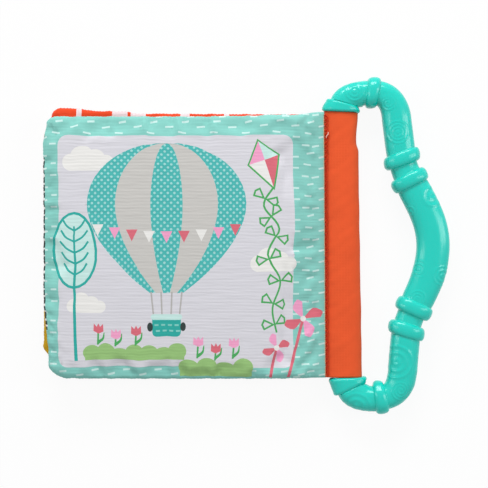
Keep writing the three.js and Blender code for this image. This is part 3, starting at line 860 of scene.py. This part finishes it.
def sleeve_rings(inset):
    foot, head = SLEEVE_LOW[1] - SLEEVE_SPARE, SLEEVE_HIGH[1] + SLEEVE_SPARE
    lengths = np.linspace(foot, head, round((head - foot) / SLEEVE_LENGTH_STEP))
    angles = np.linspace(0, 2 * math.pi, SLEEVE_ROUND_STEPS, endpoint=False)
    across, up = superellipse(angles, SLEEVE_SQUARENESS)
    y, across = np.meshgrid(lengths, across, indexing="ij")
    up = np.broadcast_to(up, y.shape)
    to_head = (y - SLEEVE_LOW[1]) / (SLEEVE_HIGH[1] - SLEEVE_LOW[1])
    half_width = (SLEEVE_WIDTH_FOOT + (SLEEVE_WIDTH_HEAD - SLEEVE_WIDTH_FOOT) * to_head) / 2
    half_rise = (SLEEVE_HIGH[2] - SLEEVE_LOW[2]) / 2
    free_side = np.clip(-across, 0, 1) ** 2
    dent = smoothstep(y, DENT_FOOT, DENT_DEEPEST) * (1 - smoothstep(y, DENT_DEEPEST, DENT_HEAD))
    seam_side = np.clip(across, 0, 1)
    slack = SLEEVE_SLACK * ripple(y * 0.35, 0.7) * free_side - SLEEVE_DENT * dent * free_side
    gathers = SLEEVE_GATHERS * ripple(y * 1.6, 2.0) * seam_side**2
    creases = SLEEVE_CREASES * ripple(y + 6 * across, 4.0) * (1 - free_side)
    x = SLEEVE_LOW[0] + half_width - across * (half_width - inset) + slack
    x = x + (seam_lean(y) - SEAM_OVERLAP) * (0.5 + 0.5 * across)
    y = y + SLEEVE_HEAD_SLOPE * across * smoothstep(to_head, SLOPE_FROM, 1)
    z = SLEEVE_LEVEL + up * (half_rise - inset) * (1 - SLEEVE_FLATTENS * np.abs(across))
    z = z + np.sign(up) * (gathers + creases)
    return as_points(x, y, z) * MM


def woven_cloth(name, colour, rib, roughness):
    """Plain dyed polyester: a fine weave in both directions with a slightly uneven dye."""
    material, tree, shader = new_material(name, Roughness=roughness, Sheen_Weight=0.1, Sheen_Roughness=0.5,
                                          Specular_IOR_Level=0.2)
    place = node(tree, "ShaderNodeTexCoord").outputs["Object"]
    weft, warp = (node(tree, "ShaderNodeTexWave", {"Vector": place}, bands_direction=direction,
                       Scale=wave_scale(rib * MM), Distortion=0.8, Detail=2.0) for direction in "YX")
    weave = node(tree, "ShaderNodeMath", {0: weft.outputs["Fac"], 1: warp.outputs["Fac"]}, operation="MULTIPLY")
    mottle = node(tree, "ShaderNodeTexNoise", {"Vector": place}, Scale=1 / (9 * MM), Detail=4.0)
    tint = node(tree, "ShaderNodeMapRange", {"Value": mottle}, To_Min=0.9, To_Max=1.1)
    dyed = node(tree, "ShaderNodeVectorMath", {0: linear(colour)[:3], "Scale": tint}, operation="SCALE")
    set_surface(tree, shader, dyed, weave, 0.5, 0.12)
    return material


sleeve_skins = np.concatenate([sleeve_rings(0), sleeve_rings(SLEEVE_WALL)[::-1]])
sleeve = mesh_object("spine_sleeve_cloth", *closed_rings(sleeve_skins, joined=True),
                     woven_cloth("orange_polyester_cloth", "f15d2e", 0.7, 0.85))
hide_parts("spine_sleeve")
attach(sleeve, "book_back")

# Spine seam
# The leaves' open sides are overlocked to the sleeve with dark red polyester thread: slanting bights wrap the edge,
# a looper thread runs along them, and one pale thread end was left by the needle.

STITCH_PITCH = 0.85
THREAD = 0.45
STITCH_REACH = 1.0
STITCH_RISE = 2.1
STITCH_LEAN = 0.55
STITCH_FOOT = 2.0
STITCH_X = SLEEVE_LOW[0] - SEAM_OVERLAP
THREAD_LEVEL = SLEEVE_LEVEL + STITCH_FOOT + STITCH_RISE
SEAM_INSET = 0.8
LOOP_PITCH, LOOP_UNEVEN = 2.1, 0.22
LOOP_REACH, LOOP_WAVER = 0.75, 0.25
LOOP_HEAD_REACH, LOOP_GROWS = 0.55, (30, 50)
LOOP_INSET, LOOP_FULLNESS, LOOP_LEVEL, LOOP_RISE = 0.2, 0.8, 0.25, 0.1
LOOPER_RADIUS, LOOPER_STEPS = 0.26, 1200
TAIL_RADIUS, TAIL_Y = 0.24, 48.6


def overlock_tree(material):
    """A row of bowed bights along Y from the middle, each one tube of thread."""
    tree = bpy.data.node_groups.new("overlock_stitches", "GeometryNodeTree")
    for size in ("Seam length", "Pitch", "Thread", "Reach", "Rise"):
        tree.interface.new_socket(size, in_out="INPUT", socket_type="NodeSocketFloat")
    tree.interface.new_socket("Geometry", in_out="OUTPUT", socket_type="NodeSocketGeometry")
    size = node(tree, "NodeGroupInput").outputs
    half, minus_half, lean, radius = (
        node(tree, "ShaderNodeMath", {0: size[name], 1: share}, operation="MULTIPLY")
        for name, share in (("Seam length", 0.5), ("Seam length", -0.5), ("Pitch", STITCH_LEAN), ("Thread", 0.5)))
    foot, head = (node(tree, "ShaderNodeCombineXYZ", {"Y": reach}) for reach in (minus_half, half))
    seam = node(tree, "GeometryNodeCurvePrimitiveLine", {"Start": foot, "End": head})
    places = node(tree, "GeometryNodeCurveToPoints", {"Curve": seam, "Length": size["Pitch"]}, mode="LENGTH")
    low = node(tree, "ShaderNodeCombineXYZ", {"Z": size["Thread"]})
    bow, high = (node(tree, "ShaderNodeCombineXYZ", {"X": reach, "Y": lean, "Z": size["Rise"]})
                 for reach in (0, size["Reach"]))
    bight = node(tree, "GeometryNodeCurveQuadraticBezier", {"Start": low, "Middle": bow, "End": high}, Resolution=7)
    profile = node(tree, "GeometryNodeCurvePrimitiveCircle", {"Radius": radius}, Resolution=6)
    strand = node(tree, "GeometryNodeCurveToMesh", {"Curve": bight, "Profile Curve": profile}, Fill_Caps=True)
    row = node(tree, "GeometryNodeInstanceOnPoints", {"Points": places, "Instance": strand})
    real = node(tree, "GeometryNodeRealizeInstances", {"Geometry": row})
    dyed = node(tree, "GeometryNodeSetMaterial", {"Geometry": real}, Material=material)
    node(tree, "NodeGroupOutput", {"Geometry": dyed})
    return tree


def grown(name, tree, **sizes):
    """The plain mesh that a tree makes with those sizes in mm, at the origin."""
    carrier = mesh_object(name, [], [])
    modifier = carrier.modifiers.new("shape", "NODES")
    modifier.node_group = tree
    for item in tree.interface.items_tree:
        if item.in_out == "INPUT":
            modifier[item.identifier] = sizes[item.name.lower().replace(" ", "_")] * MM
    evaluated = carrier.evaluated_get(bpy.context.evaluated_depsgraph_get())
    mesh = bpy.data.meshes.new_from_object(evaluated)
    bpy.data.objects.remove(carrier)
    return add_object(name, mesh)


def spun_thread(name, colour):
    """Spun polyester sewing thread: matt, with the twist of its plies as fine slanting ridges and painted shade in the
    grooves between them.
    """
    material, tree, shader = new_material(name, Roughness=0.8, Specular_IOR_Level=0.1)
    place = node(tree, "ShaderNodeTexCoord")
    plies = node(tree, "ShaderNodeTexWave", {"Vector": place.outputs["Object"]}, bands_direction="DIAGONAL",
                 Scale=wave_scale(0.5 * MM), Distortion=0.5).outputs["Fac"]
    # Painted shade: the thread's colour at 0.72 in the grooves between the plies.
    painted_ply_shade = [value * 0.72 for value in linear(colour)[:3]] + [1]
    shades = node(tree, "ShaderNodeMix", {"Factor": plies, 6: painted_ply_shade, 7: linear(colour)}, data_type="RGBA")
    set_surface(tree, shader, shades.outputs[2], plies, 0.6, 0.1)
    return material


def tube_along(points, radius, sides=8):
    """Rings of a round strand along points, for closed_rings."""
    points = np.array(points, float)
    along = unit(np.gradient(points, axis=0))
    aside = unit(np.cross(along, (0.3, 0.1, 1)))
    over = np.cross(aside, along)
    angles = np.linspace(0, 2 * math.pi, sides, endpoint=False)[None, :, None]
    return points[:, None] + radius * (np.cos(angles) * aside[:, None] + np.sin(angles) * over[:, None])


red_thread = spun_thread("red_polyester_thread", "ff6238")
stitches = grown("spine_overlock_stitches", overlock_tree(red_thread), seam_length=PAGE_HEIGHT - SEAM_INSET,
                 pitch=STITCH_PITCH, thread=THREAD, reach=STITCH_REACH, rise=STITCH_RISE)
seam_place = np.array([STITCH_X, PAGE_MIDDLE_Y, SLEEVE_LEVEL + STITCH_FOOT])
for vertex in stitches.data.vertices:
    place = np.array(vertex.co) + seam_place * MM
    vertex.co = place + (seam_lean(place[1] / MM) * MM, 0, 0)
stitches.data.shade_smooth()
looper_y = np.linspace(COVER_LOW[1] + 1, COVER_HIGH[1] - 0.2, LOOPER_STEPS)
loop_turns = looper_y / LOOP_PITCH + LOOP_UNEVEN * ripple(looper_y, 1.0)
loop_reach = LOOP_REACH + LOOP_WAVER * ripple(looper_y * 1.7, 3.0)
loop_reach = loop_reach + LOOP_HEAD_REACH * smoothstep(looper_y, *LOOP_GROWS)
loop_share = np.abs(np.sin(math.pi * loop_turns)) ** LOOP_FULLNESS
looper = as_points(STITCH_X + LOOP_INSET + seam_lean(looper_y) + loop_reach * loop_share, looper_y,
                   THREAD_LEVEL + LOOP_LEVEL + LOOP_RISE * np.sin(2 * math.pi * loop_turns))
looper_thread = mesh_object("spine_looper_thread", *closed_rings(tube_along(looper, LOOPER_RADIUS, 6) * MM),
                            spun_thread("dark_red_polyester_thread", "da3a1e"))
tail_start = np.array([STITCH_X + 0.6, TAIL_Y, THREAD_LEVEL + 0.3])
tail = tail_start + curve((0, 0, 0), (0.1, 0.9, 0.3), (0.75, 1.7, 0.3), (0.9, 2.8, 0.1), steps=5)
thread_end = mesh_object("pale_thread_end", *closed_rings(tube_along(tail, TAIL_RADIUS) * MM),
                         spun_thread("pale_polyester_thread", "ffc8b8"))
for sewn_piece in (stitches, looper_thread, thread_end):
    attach(sewn_piece, "book_back")
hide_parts("spine_seam_stitches")

# Teether handle
# One closed loop moulded in soft turquoise plastic: an oval tube with six beads to bite on, and two flared collars
# whose blind sockets hold the ends of the rod. Low rings and spirals are raised on both faces.

swing = next(joint for joint in frame["joints"] if joint["name"] == "handle_swing")
ROD_AT = np.array(swing["pos_m"]) / MM
ROD_TILT = math.atan2(swing["axis"][0], -swing["axis"][1])
COLLAR_MOUTH = PAGE_HEIGHT / 2 + 0.75
GRIP_REACH = 40.9
PAIR_REACH, PAIR_HEIGHT = 27.4, COLLAR_MOUTH - 21.5
SHOULDER_REACH, SHOULDER_HEIGHT = 25.6, COLLAR_MOUTH - 4.4
ARM_REACH, ARM_HEIGHT = 15.0, COLLAR_MOUTH + 8.5
GRIP_PULL, PAIR_PULL, PAIR_SPREAD = 0.4, 0.35, 0.2
SHOULDER_PULL, SHOULDER_SPREAD = 0.62, 0.4
ARM_OUTER_PULL, ARM_INNER_PULL, COLLAR_PULL = 0.59, 0.4, 0.8
GRIP, GRIP_END, WAIST = (15.4, 10.8), (15.0, 11.0), (12.9, 10.8)
STRAIGHT, ARM = (13.6, 11.8), (11.4, 11.0)
BEAD_HEIGHT = 14.0
BEAD_LENGTH = 6.2
ARM_BEAD_LENGTH = 5.5
BEAD_SQUARENESS = 2.3
BEAD_PITCH = 10.5
TUBE_SQUARENESS = 2.5
TUBE_ROUND_STEPS = 112
TUBE_STEP = 0.36
COLLAR_WIDTH, COLLAR_HEIGHT = 17.6, 11.8
NECK_LEFT, NECK_RIGHT = -6.9, 8.5
COLLAR_LENGTH = 4.6
COLLAR_SLOPE = -0.245
COLLAR_ROUNDING = 1.2
COLLAR_LIP, LIP_FROM = 0.45, 0.8
FLARE_POWER = 1.4
NECK_RIGHT_ROUNDING = 0.7
HEAD_SLOPE = -0.055
FOOT_STRETCH, FOOT_LIFT, FOOT_BULGE = 1.9, 0.75, 0.6
STRETCH_REACH, STRETCH_LOWER = 3.7, 2.2
NECK_ENDS, LIFT_GROWS = (5.5, 10.5), (11, 20)
BULGE_GROWS, BULGE_FADES = (5, 20), (25, 42)
MOUTH_SLOPE_GROWS, MOUTH_SLOPE_FADES, MOUTH_REACH = (-4, -2), (2, 6), 10
MIDDLE_DROP, MIDDLE_FADES, GRIP_GROWS = 0.6, (41, 56), (10, 20)
SOCKET_RADIUS = 3.85
SOCKET_DEPTH = 5.35
SOCKET_CHAMFER = 0.3
CREASE_NEAR = 9
RINGS_FADE = (0.5, 3.0)


def bezier(a, b, c, d, steps=80):
    t = np.linspace(0, 1, steps)[:, None]
    a, b, c, d = (np.array(point, float) for point in (a, b, c, d))
    return a * (1 - t) ** 3 + 3 * b * t * (1 - t) ** 2 + 3 * c * t**2 * (1 - t) + d * t**3


def part_way(low, high, share):
    return low + (high - low) * share


class HalfLoop:
    """The centre line from the middle of the grip to the collar, as points at distances along it."""

    def __init__(self):
        lean = PAIR_PULL * PAIR_HEIGHT
        collar_y = COLLAR_MOUTH + 1
        pieces = [
            bezier((GRIP_REACH, 0), (GRIP_REACH, GRIP_PULL * PAIR_HEIGHT),
                   (PAIR_REACH + PAIR_SPREAD * lean, PAIR_HEIGHT - lean), (PAIR_REACH, PAIR_HEIGHT)),
            np.linspace((PAIR_REACH, PAIR_HEIGHT), (SHOULDER_REACH, SHOULDER_HEIGHT), 20),
            bezier((SHOULDER_REACH, SHOULDER_HEIGHT),
                   (SHOULDER_REACH - SHOULDER_SPREAD, part_way(SHOULDER_HEIGHT, ARM_HEIGHT, SHOULDER_PULL)),
                   (part_way(ARM_REACH, SHOULDER_REACH, ARM_OUTER_PULL), ARM_HEIGHT), (ARM_REACH, ARM_HEIGHT)),
            bezier((ARM_REACH, ARM_HEIGHT), (ARM_INNER_PULL * ARM_REACH, ARM_HEIGHT),
                   (0, part_way(collar_y, ARM_HEIGHT, COLLAR_PULL)), (0, collar_y)),
        ]
        self.points = np.concatenate([pieces[0]] + [piece[1:] for piece in pieces[1:]])
        steps = np.linalg.norm(np.diff(self.points, axis=0), axis=1)
        self.reached = np.concatenate([[0], np.cumsum(steps)])
        ends = np.cumsum([len(piece) - 1 for piece in pieces])
        self.to_pair, self.to_shoulder, self.to_arm, self.length = self.reached[ends]
        self.along = np.gradient(self.points, self.reached, axis=0)

    def at(self, distance):
        place = [np.interp(distance, self.reached, self.points[:, axis]) for axis in (0, 1)]
        tangent = [np.interp(distance, self.reached, self.along[:, axis]) for axis in (0, 1)]
        size = np.hypot(*tangent)
        return place[0], place[1], tangent[0] / size, tangent[1] / size


loop = HalfLoop()
# Each bead's middle along the half loop, width, lean in degrees, length and how much its ends fan out in the bend
BEADS = ((loop.to_pair - BEAD_PITCH - 0.2, 17.9, -1.0, BEAD_LENGTH, 0),
         (loop.to_pair - 0.3, 17.6, -7.0, BEAD_LENGTH, 0), (loop.to_arm + 0.2, 14.7, 9.0, ARM_BEAD_LENGTH, 1))
SECTIONS = ((0, GRIP), (loop.to_pair - BEAD_PITCH - BEAD_LENGTH, GRIP_END), (loop.to_pair - BEAD_PITCH / 2, WAIST),
            (loop.to_pair + BEAD_LENGTH, STRAIGHT), (loop.to_shoulder, STRAIGHT), (loop.to_arm, ARM),
            (loop.length, ARM))


def tube_section(distance):
    """Width across the loop and height over the floor at distances along the half loop."""
    width = np.full(np.shape(distance), ARM[0])
    height = np.full(np.shape(distance), ARM[1])
    for (near, before), (far, after) in zip(SECTIONS, SECTIONS[1:]):
        here = (distance >= near) & (distance <= far)
        share = smoothstep(distance, near, far)
        width = np.where(here, part_way(before[0], after[0], share), width)
        height = np.where(here, part_way(before[1], after[1], share), height)
    return width, height


ROUND = np.linspace(0, 2 * math.pi, TUBE_ROUND_STEPS, endpoint=False)
ROUND_ACROSS, ROUND_UP = superellipse(ROUND, TUBE_SQUARENESS)


def tube_points(distance):
    """Points of the tube's skin; distance has one value for each point of a ring."""
    x, y, along_x, along_y = loop.at(distance)
    width, height = tube_section(distance)
    aside = ROUND_ACROSS * width / 2
    return as_points(x - along_y * aside, y + along_x * aside, ROUND_UP * height / 2)


def meets_plane(place, facing, near):
    """How far along the half loop each line of the tube's skin meets a plane across it."""
    distance = np.full(TUBE_ROUND_STEPS, float(near))
    for _ in range(40):
        short = (place - tube_points(distance)[:, :2]) @ facing
        distance = np.clip(distance + 0.5 * short, 0, loop.length)
    return distance


def bead_plane(middle, lean, fan, offset):
    """A place in a bead's cross-plane, the plane's facing and its direction across, at an offset from its middle."""
    x, y, *along = loop.at(middle)
    _, _, *later = loop.at(middle + 1)
    (along_x, along_y), (later_x, later_y) = (spin(direction, -math.radians(lean), (0, 0)) for direction in
                                              (along, later))
    along, aside = np.array([along_x, along_y]), np.array([-along_y, along_x])
    turned = fan * offset * (along_x * later_y - along_y * later_x)
    return np.array([x, y]) + along * offset, along + turned * aside, aside - turned * along


def bead_rings(middle, bead_width, lean, bead_length, fan):
    """Rings of a bead between flat ends, which the bent tube goes through."""
    rings = []
    for share in np.sin(np.linspace(-math.pi / 2, math.pi / 2, 21))[1:-1]:
        place, facing, aside = bead_plane(middle, lean, fan, share * bead_length / 2)
        skin = tube_points(meets_plane(place, facing, middle))
        over = (skin[:, :2] - place) @ aside
        bulge = (1 - abs(share) ** BEAD_SQUARENESS) ** (1 / BEAD_SQUARENESS)
        half_width = part_way((over.max() - over.min()) / 2, bead_width / 2, bulge)
        half_height = part_way(skin[:, 2].max(), BEAD_HEIGHT / 2, bulge)
        flat = place + ((over.max() + over.min()) / 2 + ROUND_ACROSS[:, None] * half_width) * aside
        rings.append(np.concatenate([flat, ROUND_UP[:, None] * half_height], axis=1))
    return rings


def collar_ring(y, left, right, height, squareness=TUBE_SQUARENESS):
    across, up = superellipse(ROUND, squareness)
    return as_points((left + right) / 2 + across * (right - left) / 2, y, up * height / 2)


def collar_rings():
    """Rings from the neck's sloping crease over the flare and the rounded mouth into the socket."""
    rings = []
    neck = collar_ring(0, NECK_LEFT, NECK_RIGHT, COLLAR_HEIGHT)
    tall = COLLAR_LENGTH + COLLAR_SLOPE * neck[:, 0]
    lip = COLLAR_LIP * smoothstep(ROUND_ACROSS, LIP_FROM, 1)
    rounding = np.minimum(COLLAR_ROUNDING, (tall + lip) / 2)
    for angle in np.linspace(0, math.pi / 2, 8):
        inset = COLLAR_ROUNDING * (1 - math.sin(angle))
        rings.append(collar_ring(COLLAR_MOUTH + tall - rounding * (1 - math.cos(angle)), NECK_LEFT + inset,
                                 NECK_RIGHT - NECK_RIGHT_ROUNDING * inset, COLLAR_HEIGHT - 2 * inset))
    for share in np.linspace(0, 1, 12)[1:]:
        flare = 1 - (1 - share) ** FLARE_POWER
        rings.append(collar_ring(COLLAR_MOUTH + part_way(tall - rounding, rounding - lip, share),
                                 part_way(NECK_LEFT, -COLLAR_WIDTH / 2, flare),
                                 part_way(NECK_RIGHT, COLLAR_WIDTH / 2, flare), COLLAR_HEIGHT))
    for angle in np.linspace(0, math.pi / 2, 8)[1:]:
        inset = COLLAR_ROUNDING * (1 - math.cos(angle))
        right = COLLAR_WIDTH / 2 - inset
        rings.append(collar_ring(COLLAR_MOUTH - lip + rounding * (1 - math.sin(angle)), -right, right,
                                 COLLAR_HEIGHT - 2 * inset))
    for radius, y in ((SOCKET_RADIUS + SOCKET_CHAMFER, 0), (SOCKET_RADIUS, SOCKET_CHAMFER),
                      (SOCKET_RADIUS, SOCKET_DEPTH / 2), (SOCKET_RADIUS, SOCKET_DEPTH)):
        rings.append(collar_ring(COLLAR_MOUTH + y, -radius, radius, 2 * radius, 2))
    return rings


def half_handle():
    """Rings from the middle of the grip to the socket's floor, and which of them are on the plain tube."""
    rings, on_tube, ends = [], [], []
    reached = np.zeros(TUBE_ROUND_STEPS)
    crease = np.array([0, COLLAR_MOUTH + COLLAR_LENGTH])
    down_collar = np.array([COLLAR_SLOPE, -1]) / math.hypot(COLLAR_SLOPE, 1)
    for middle, width, lean, length, fan in BEADS:
        near, far = (meets_plane(*bead_plane(middle, lean, fan, side * length / 2)[:2], middle) for side in (-1, 1))
        ends.append((near, far, bead_rings(middle, width, lean, length, fan)))
    ends.append((meets_plane(crease, down_collar, loop.to_arm + CREASE_NEAR), None, collar_rings()))
    for near, far, across in ends:
        count = math.ceil((near - reached).max() / TUBE_STEP) + 1
        shares = np.linspace(0, 1, count)
        rings += [tube_points(part_way(reached, near, share)) for share in shares]
        on_tube += list(smoothstep(np.minimum(shares, 1 - shares) * count, *RINGS_FADE))
        rings += across
        on_tube += [0] * len(across)
        reached = far
    return np.stack(rings), np.array(on_tube)


# Raised rings and spirals on the tube: where their middles are in the frame, how far they reach, the pitch of the
# ridges, and whether they wind
RING_HEIGHT = 0.18
RING_START, RING_FADE, RING_SHARPNESS = 0.15, 0.3, 1.6
RAISED_RINGS = (
    (49.9, 69.9, 4.7, 1.7, 0), (65.2, 64.4, 3.7, 1.35, 1), (69.7, 51.3, 5.5, 1.5, 0), (85.6, 22.0, 6.0, 3.2, 0),
    (75.3, 15.0, 3.2, 1.5, 0), (79.3, -11.4, 4.0, 1.7, 0), (79.0, -25.2, 4.2, 1.4, 1), (90.5, -14.7, 4.6, 1.9, 0),
    (69.0, -54.2, 8.3, 3.1, 0), (71.0, -67.3, 4.8, 1.4, 1), (50.6, -75.2, 7.2, 2.75, 0),
)


def raised(x, y):
    height = np.zeros(x.shape)
    for middle_x, middle_y, reach, pitch, winds in RAISED_RINGS:
        out = np.hypot(x - middle_x, y - middle_y)
        turn = winds * np.arctan2(y - middle_y, x - middle_x) / (2 * math.pi)
        wave = 0.5 - 0.5 * np.cos(2 * math.pi * (out / pitch - turn + RING_START))
        fade = 1 - smoothstep(out, reach - RING_FADE * pitch, reach + RING_FADE * pitch)
        height = np.maximum(height, wave**RING_SHARPNESS * fade)
    return RING_HEIGHT * height


def make_handle():
    head_half, head_on_tube = half_handle()
    foot_half = head_half[:0:-1] * (1, -1, 1)
    x, y = foot_half[..., 0], foot_half[..., 1]
    from_mouth = -y - COLLAR_MOUTH - STRETCH_LOWER * (1 - smoothstep(x, *NECK_ENDS))
    y -= (FOOT_STRETCH - FOOT_LIFT * smoothstep(x, *LIFT_GROWS)) * smoothstep(from_mouth, 0, STRETCH_REACH)
    x += FOOT_BULGE * (smoothstep(-y, *BULGE_GROWS) - smoothstep(-y, *BULGE_FADES))
    x, y = head_half[..., 0], head_half[..., 1]
    to_mouth = y - COLLAR_MOUTH
    near_mouth = smoothstep(to_mouth, *MOUTH_SLOPE_GROWS) * (1 - smoothstep(to_mouth, *MOUTH_SLOPE_FADES))
    y += HEAD_SLOPE * x * near_mouth * (np.abs(x) < MOUTH_REACH)
    rings = np.concatenate([foot_half, head_half])
    x, y = rings[..., 0], rings[..., 1]
    y -= MIDDLE_DROP * (1 - smoothstep(np.abs(y), *MIDDLE_FADES)) * smoothstep(x, *GRIP_GROWS)
    on_tube = np.concatenate([head_on_tube[:0:-1], head_on_tube])
    on_tube[len(foot_half)] = 1
    along = np.gradient(rings, axis=0)
    over = np.roll(rings, -1, axis=1) - np.roll(rings, 1, axis=1)
    normals = np.cross(over, along)
    normals /= np.maximum(np.linalg.norm(normals, axis=2), 1e-9)[..., None]
    outward = rings[len(rings) // 2, 0] - rings[len(rings) // 2].mean(axis=0)
    if normals[len(rings) // 2, 0] @ outward < 0:
        normals = -normals
    turn = np.array([[math.cos(ROD_TILT), math.sin(ROD_TILT), 0], [-math.sin(ROD_TILT), math.cos(ROD_TILT), 0],
                     [0, 0, 1]])
    placed = rings @ turn + ROD_AT
    normals = normals @ turn
    facing = part_way(0.4, 1, smoothstep(np.abs(normals[..., 2]), 0, 0.4))
    placed = placed + normals * (raised(placed[..., 0], placed[..., 1]) * facing * on_tube[:, None])[..., None]
    return mesh_object("moulded_teether_handle", *closed_rings(placed * MM),
                       moulded_plastic("turquoise_teether_plastic", "06d4c4", 0.2))


def moulded_plastic(name, colour, roughness):
    """Injection-moulded soft plastic: glossy, a little uneven where the mould was polished by hand."""
    material, tree, shader = new_material(name, Roughness=roughness, IOR=1.49, Subsurface_Weight=0.12,
                                          Subsurface_Radius=(0.4, 1.0, 0.9), Subsurface_Scale=2.5 * MM)
    place = node(tree, "ShaderNodeTexCoord").outputs["Object"]
    polish = node(tree, "ShaderNodeTexNoise", {"Vector": place}, Scale=1 / (2.5 * MM), Detail=3.0)
    flow = node(tree, "ShaderNodeTexNoise", {"Vector": place}, Scale=1 / (30 * MM), Detail=2.0)
    darker, lighter = ([min(value * by, 1) for value in linear(colour)[:3]] + [1] for by in (0.94, 1.05))
    shades = node(tree, "ShaderNodeMix", {"Factor": flow, 6: darker, 7: lighter}, data_type="RGBA")
    set_surface(tree, shader, shades.outputs[2], polish, 0.12, 0.1)
    return material


handle = make_handle()
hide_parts("teether_handle")
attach(handle, "handle")
rod = frame["nodes"]["spine_rod"]
rod.material_slots[0].material = moulded_plastic("rod_plastic", "27b8a8", 0.4)

# Studio
# The book lies on a white sweep under a straight-down camera, with a broad soft light towards the head of the page
# and a softer one on either side.

CAMERA_LENS, SENSOR_WIDTH = 150, 36
CAMERA_DISTANCE = 0.9354
CAMERA_LEVEL = 0.010
CAMERA_X, CAMERA_Y = -0.00087, -0.00003
FLOOR_REACH, FLOOR_LEVEL = 1.5, -0.0002
FLOOR_GLOW, WORLD_SHARE = 0.93, 0.34


def add_camera():
    camera = add_object("camera", bpy.data.cameras.new("camera"))
    camera.data.lens = CAMERA_LENS
    camera.data.sensor_width = SENSOR_WIDTH
    camera.data.clip_start = 0.01
    camera.location = (CAMERA_X, CAMERA_Y, CAMERA_LEVEL + CAMERA_DISTANCE)
    bpy.context.scene.camera = camera


def add_light(name, location, size, power):
    light = bpy.data.lights.new(name, "AREA")
    light.shape = "RECTANGLE"
    light.size, light.size_y = size
    light.energy = power
    lamp = add_object(name, light)
    lamp.location = location
    lamp.rotation_euler = (-lamp.location).to_track_quat("-Z", "Y").to_euler()


def seen_white(tree, shown_share):
    """A factor that is shown_share for camera, glossy and transmission rays, and 0 for the rest."""
    rays = node(tree, "ShaderNodeLightPath")
    seen = rays.outputs["Is Camera Ray"]
    for kind in ("Is Glossy Ray", "Is Transmission Ray"):
        seen = node(tree, "ShaderNodeMath", {0: seen, 1: rays.outputs[kind]}, operation="MAXIMUM")
    return node(tree, "ShaderNodeMath", {0: seen, 1: shown_share}, operation="MULTIPLY")


def add_floor():
    corners = [(x * FLOOR_REACH, y * FLOOR_REACH, FLOOR_LEVEL) for x, y in ((-1, -1), (1, -1), (1, 1), (-1, 1))]
    material, tree, shader = new_material("white_paper_sweep", Base_Color=linear("fbfbfb"), Roughness=0.9,
                                          Specular_IOR_Level=0.1)
    glow = node(tree, "ShaderNodeEmission", Strength=1.0)
    both = node(tree, "ShaderNodeMixShader", {0: seen_white(tree, FLOOR_GLOW), 1: shader, 2: glow})
    wired(tree, tree.nodes["Material Output"], {"Surface": both})
    floor = mesh_object("floor", corners, [(0, 1, 2, 3)])
    floor.data.materials.append(material)


def add_world():
    world = bpy.data.worlds.new("studio")
    bpy.context.scene.world = world
    world.use_nodes = True
    tree = world.node_tree
    soft = wired(tree, tree.nodes["Background"], Color=(1, 1, 1, 1), Strength=WORLD_SHARE)
    seen = node(tree, "ShaderNodeBackground", Color=(1, 1, 1, 1), Strength=1.0)
    both = node(tree, "ShaderNodeMixShader", {0: seen_white(tree, 1.0), 1: soft, 2: seen})
    wired(tree, tree.nodes["World Output"], {"Surface": both})


add_camera()
add_floor()
add_world()
for light in (("head_softbox", (-0.1, 1.05, 0.65), (0.9, 0.4), 11.0),
              ("right_softbox", (0.9, 0.15, 0.7), (0.25, 0.9), 3.2),
              ("left_softbox", (-0.9, 0.15, 0.8), (0.25, 0.9), 2.0)):
    add_light(*light)
bpy.context.scene.view_settings.view_transform = "Standard"
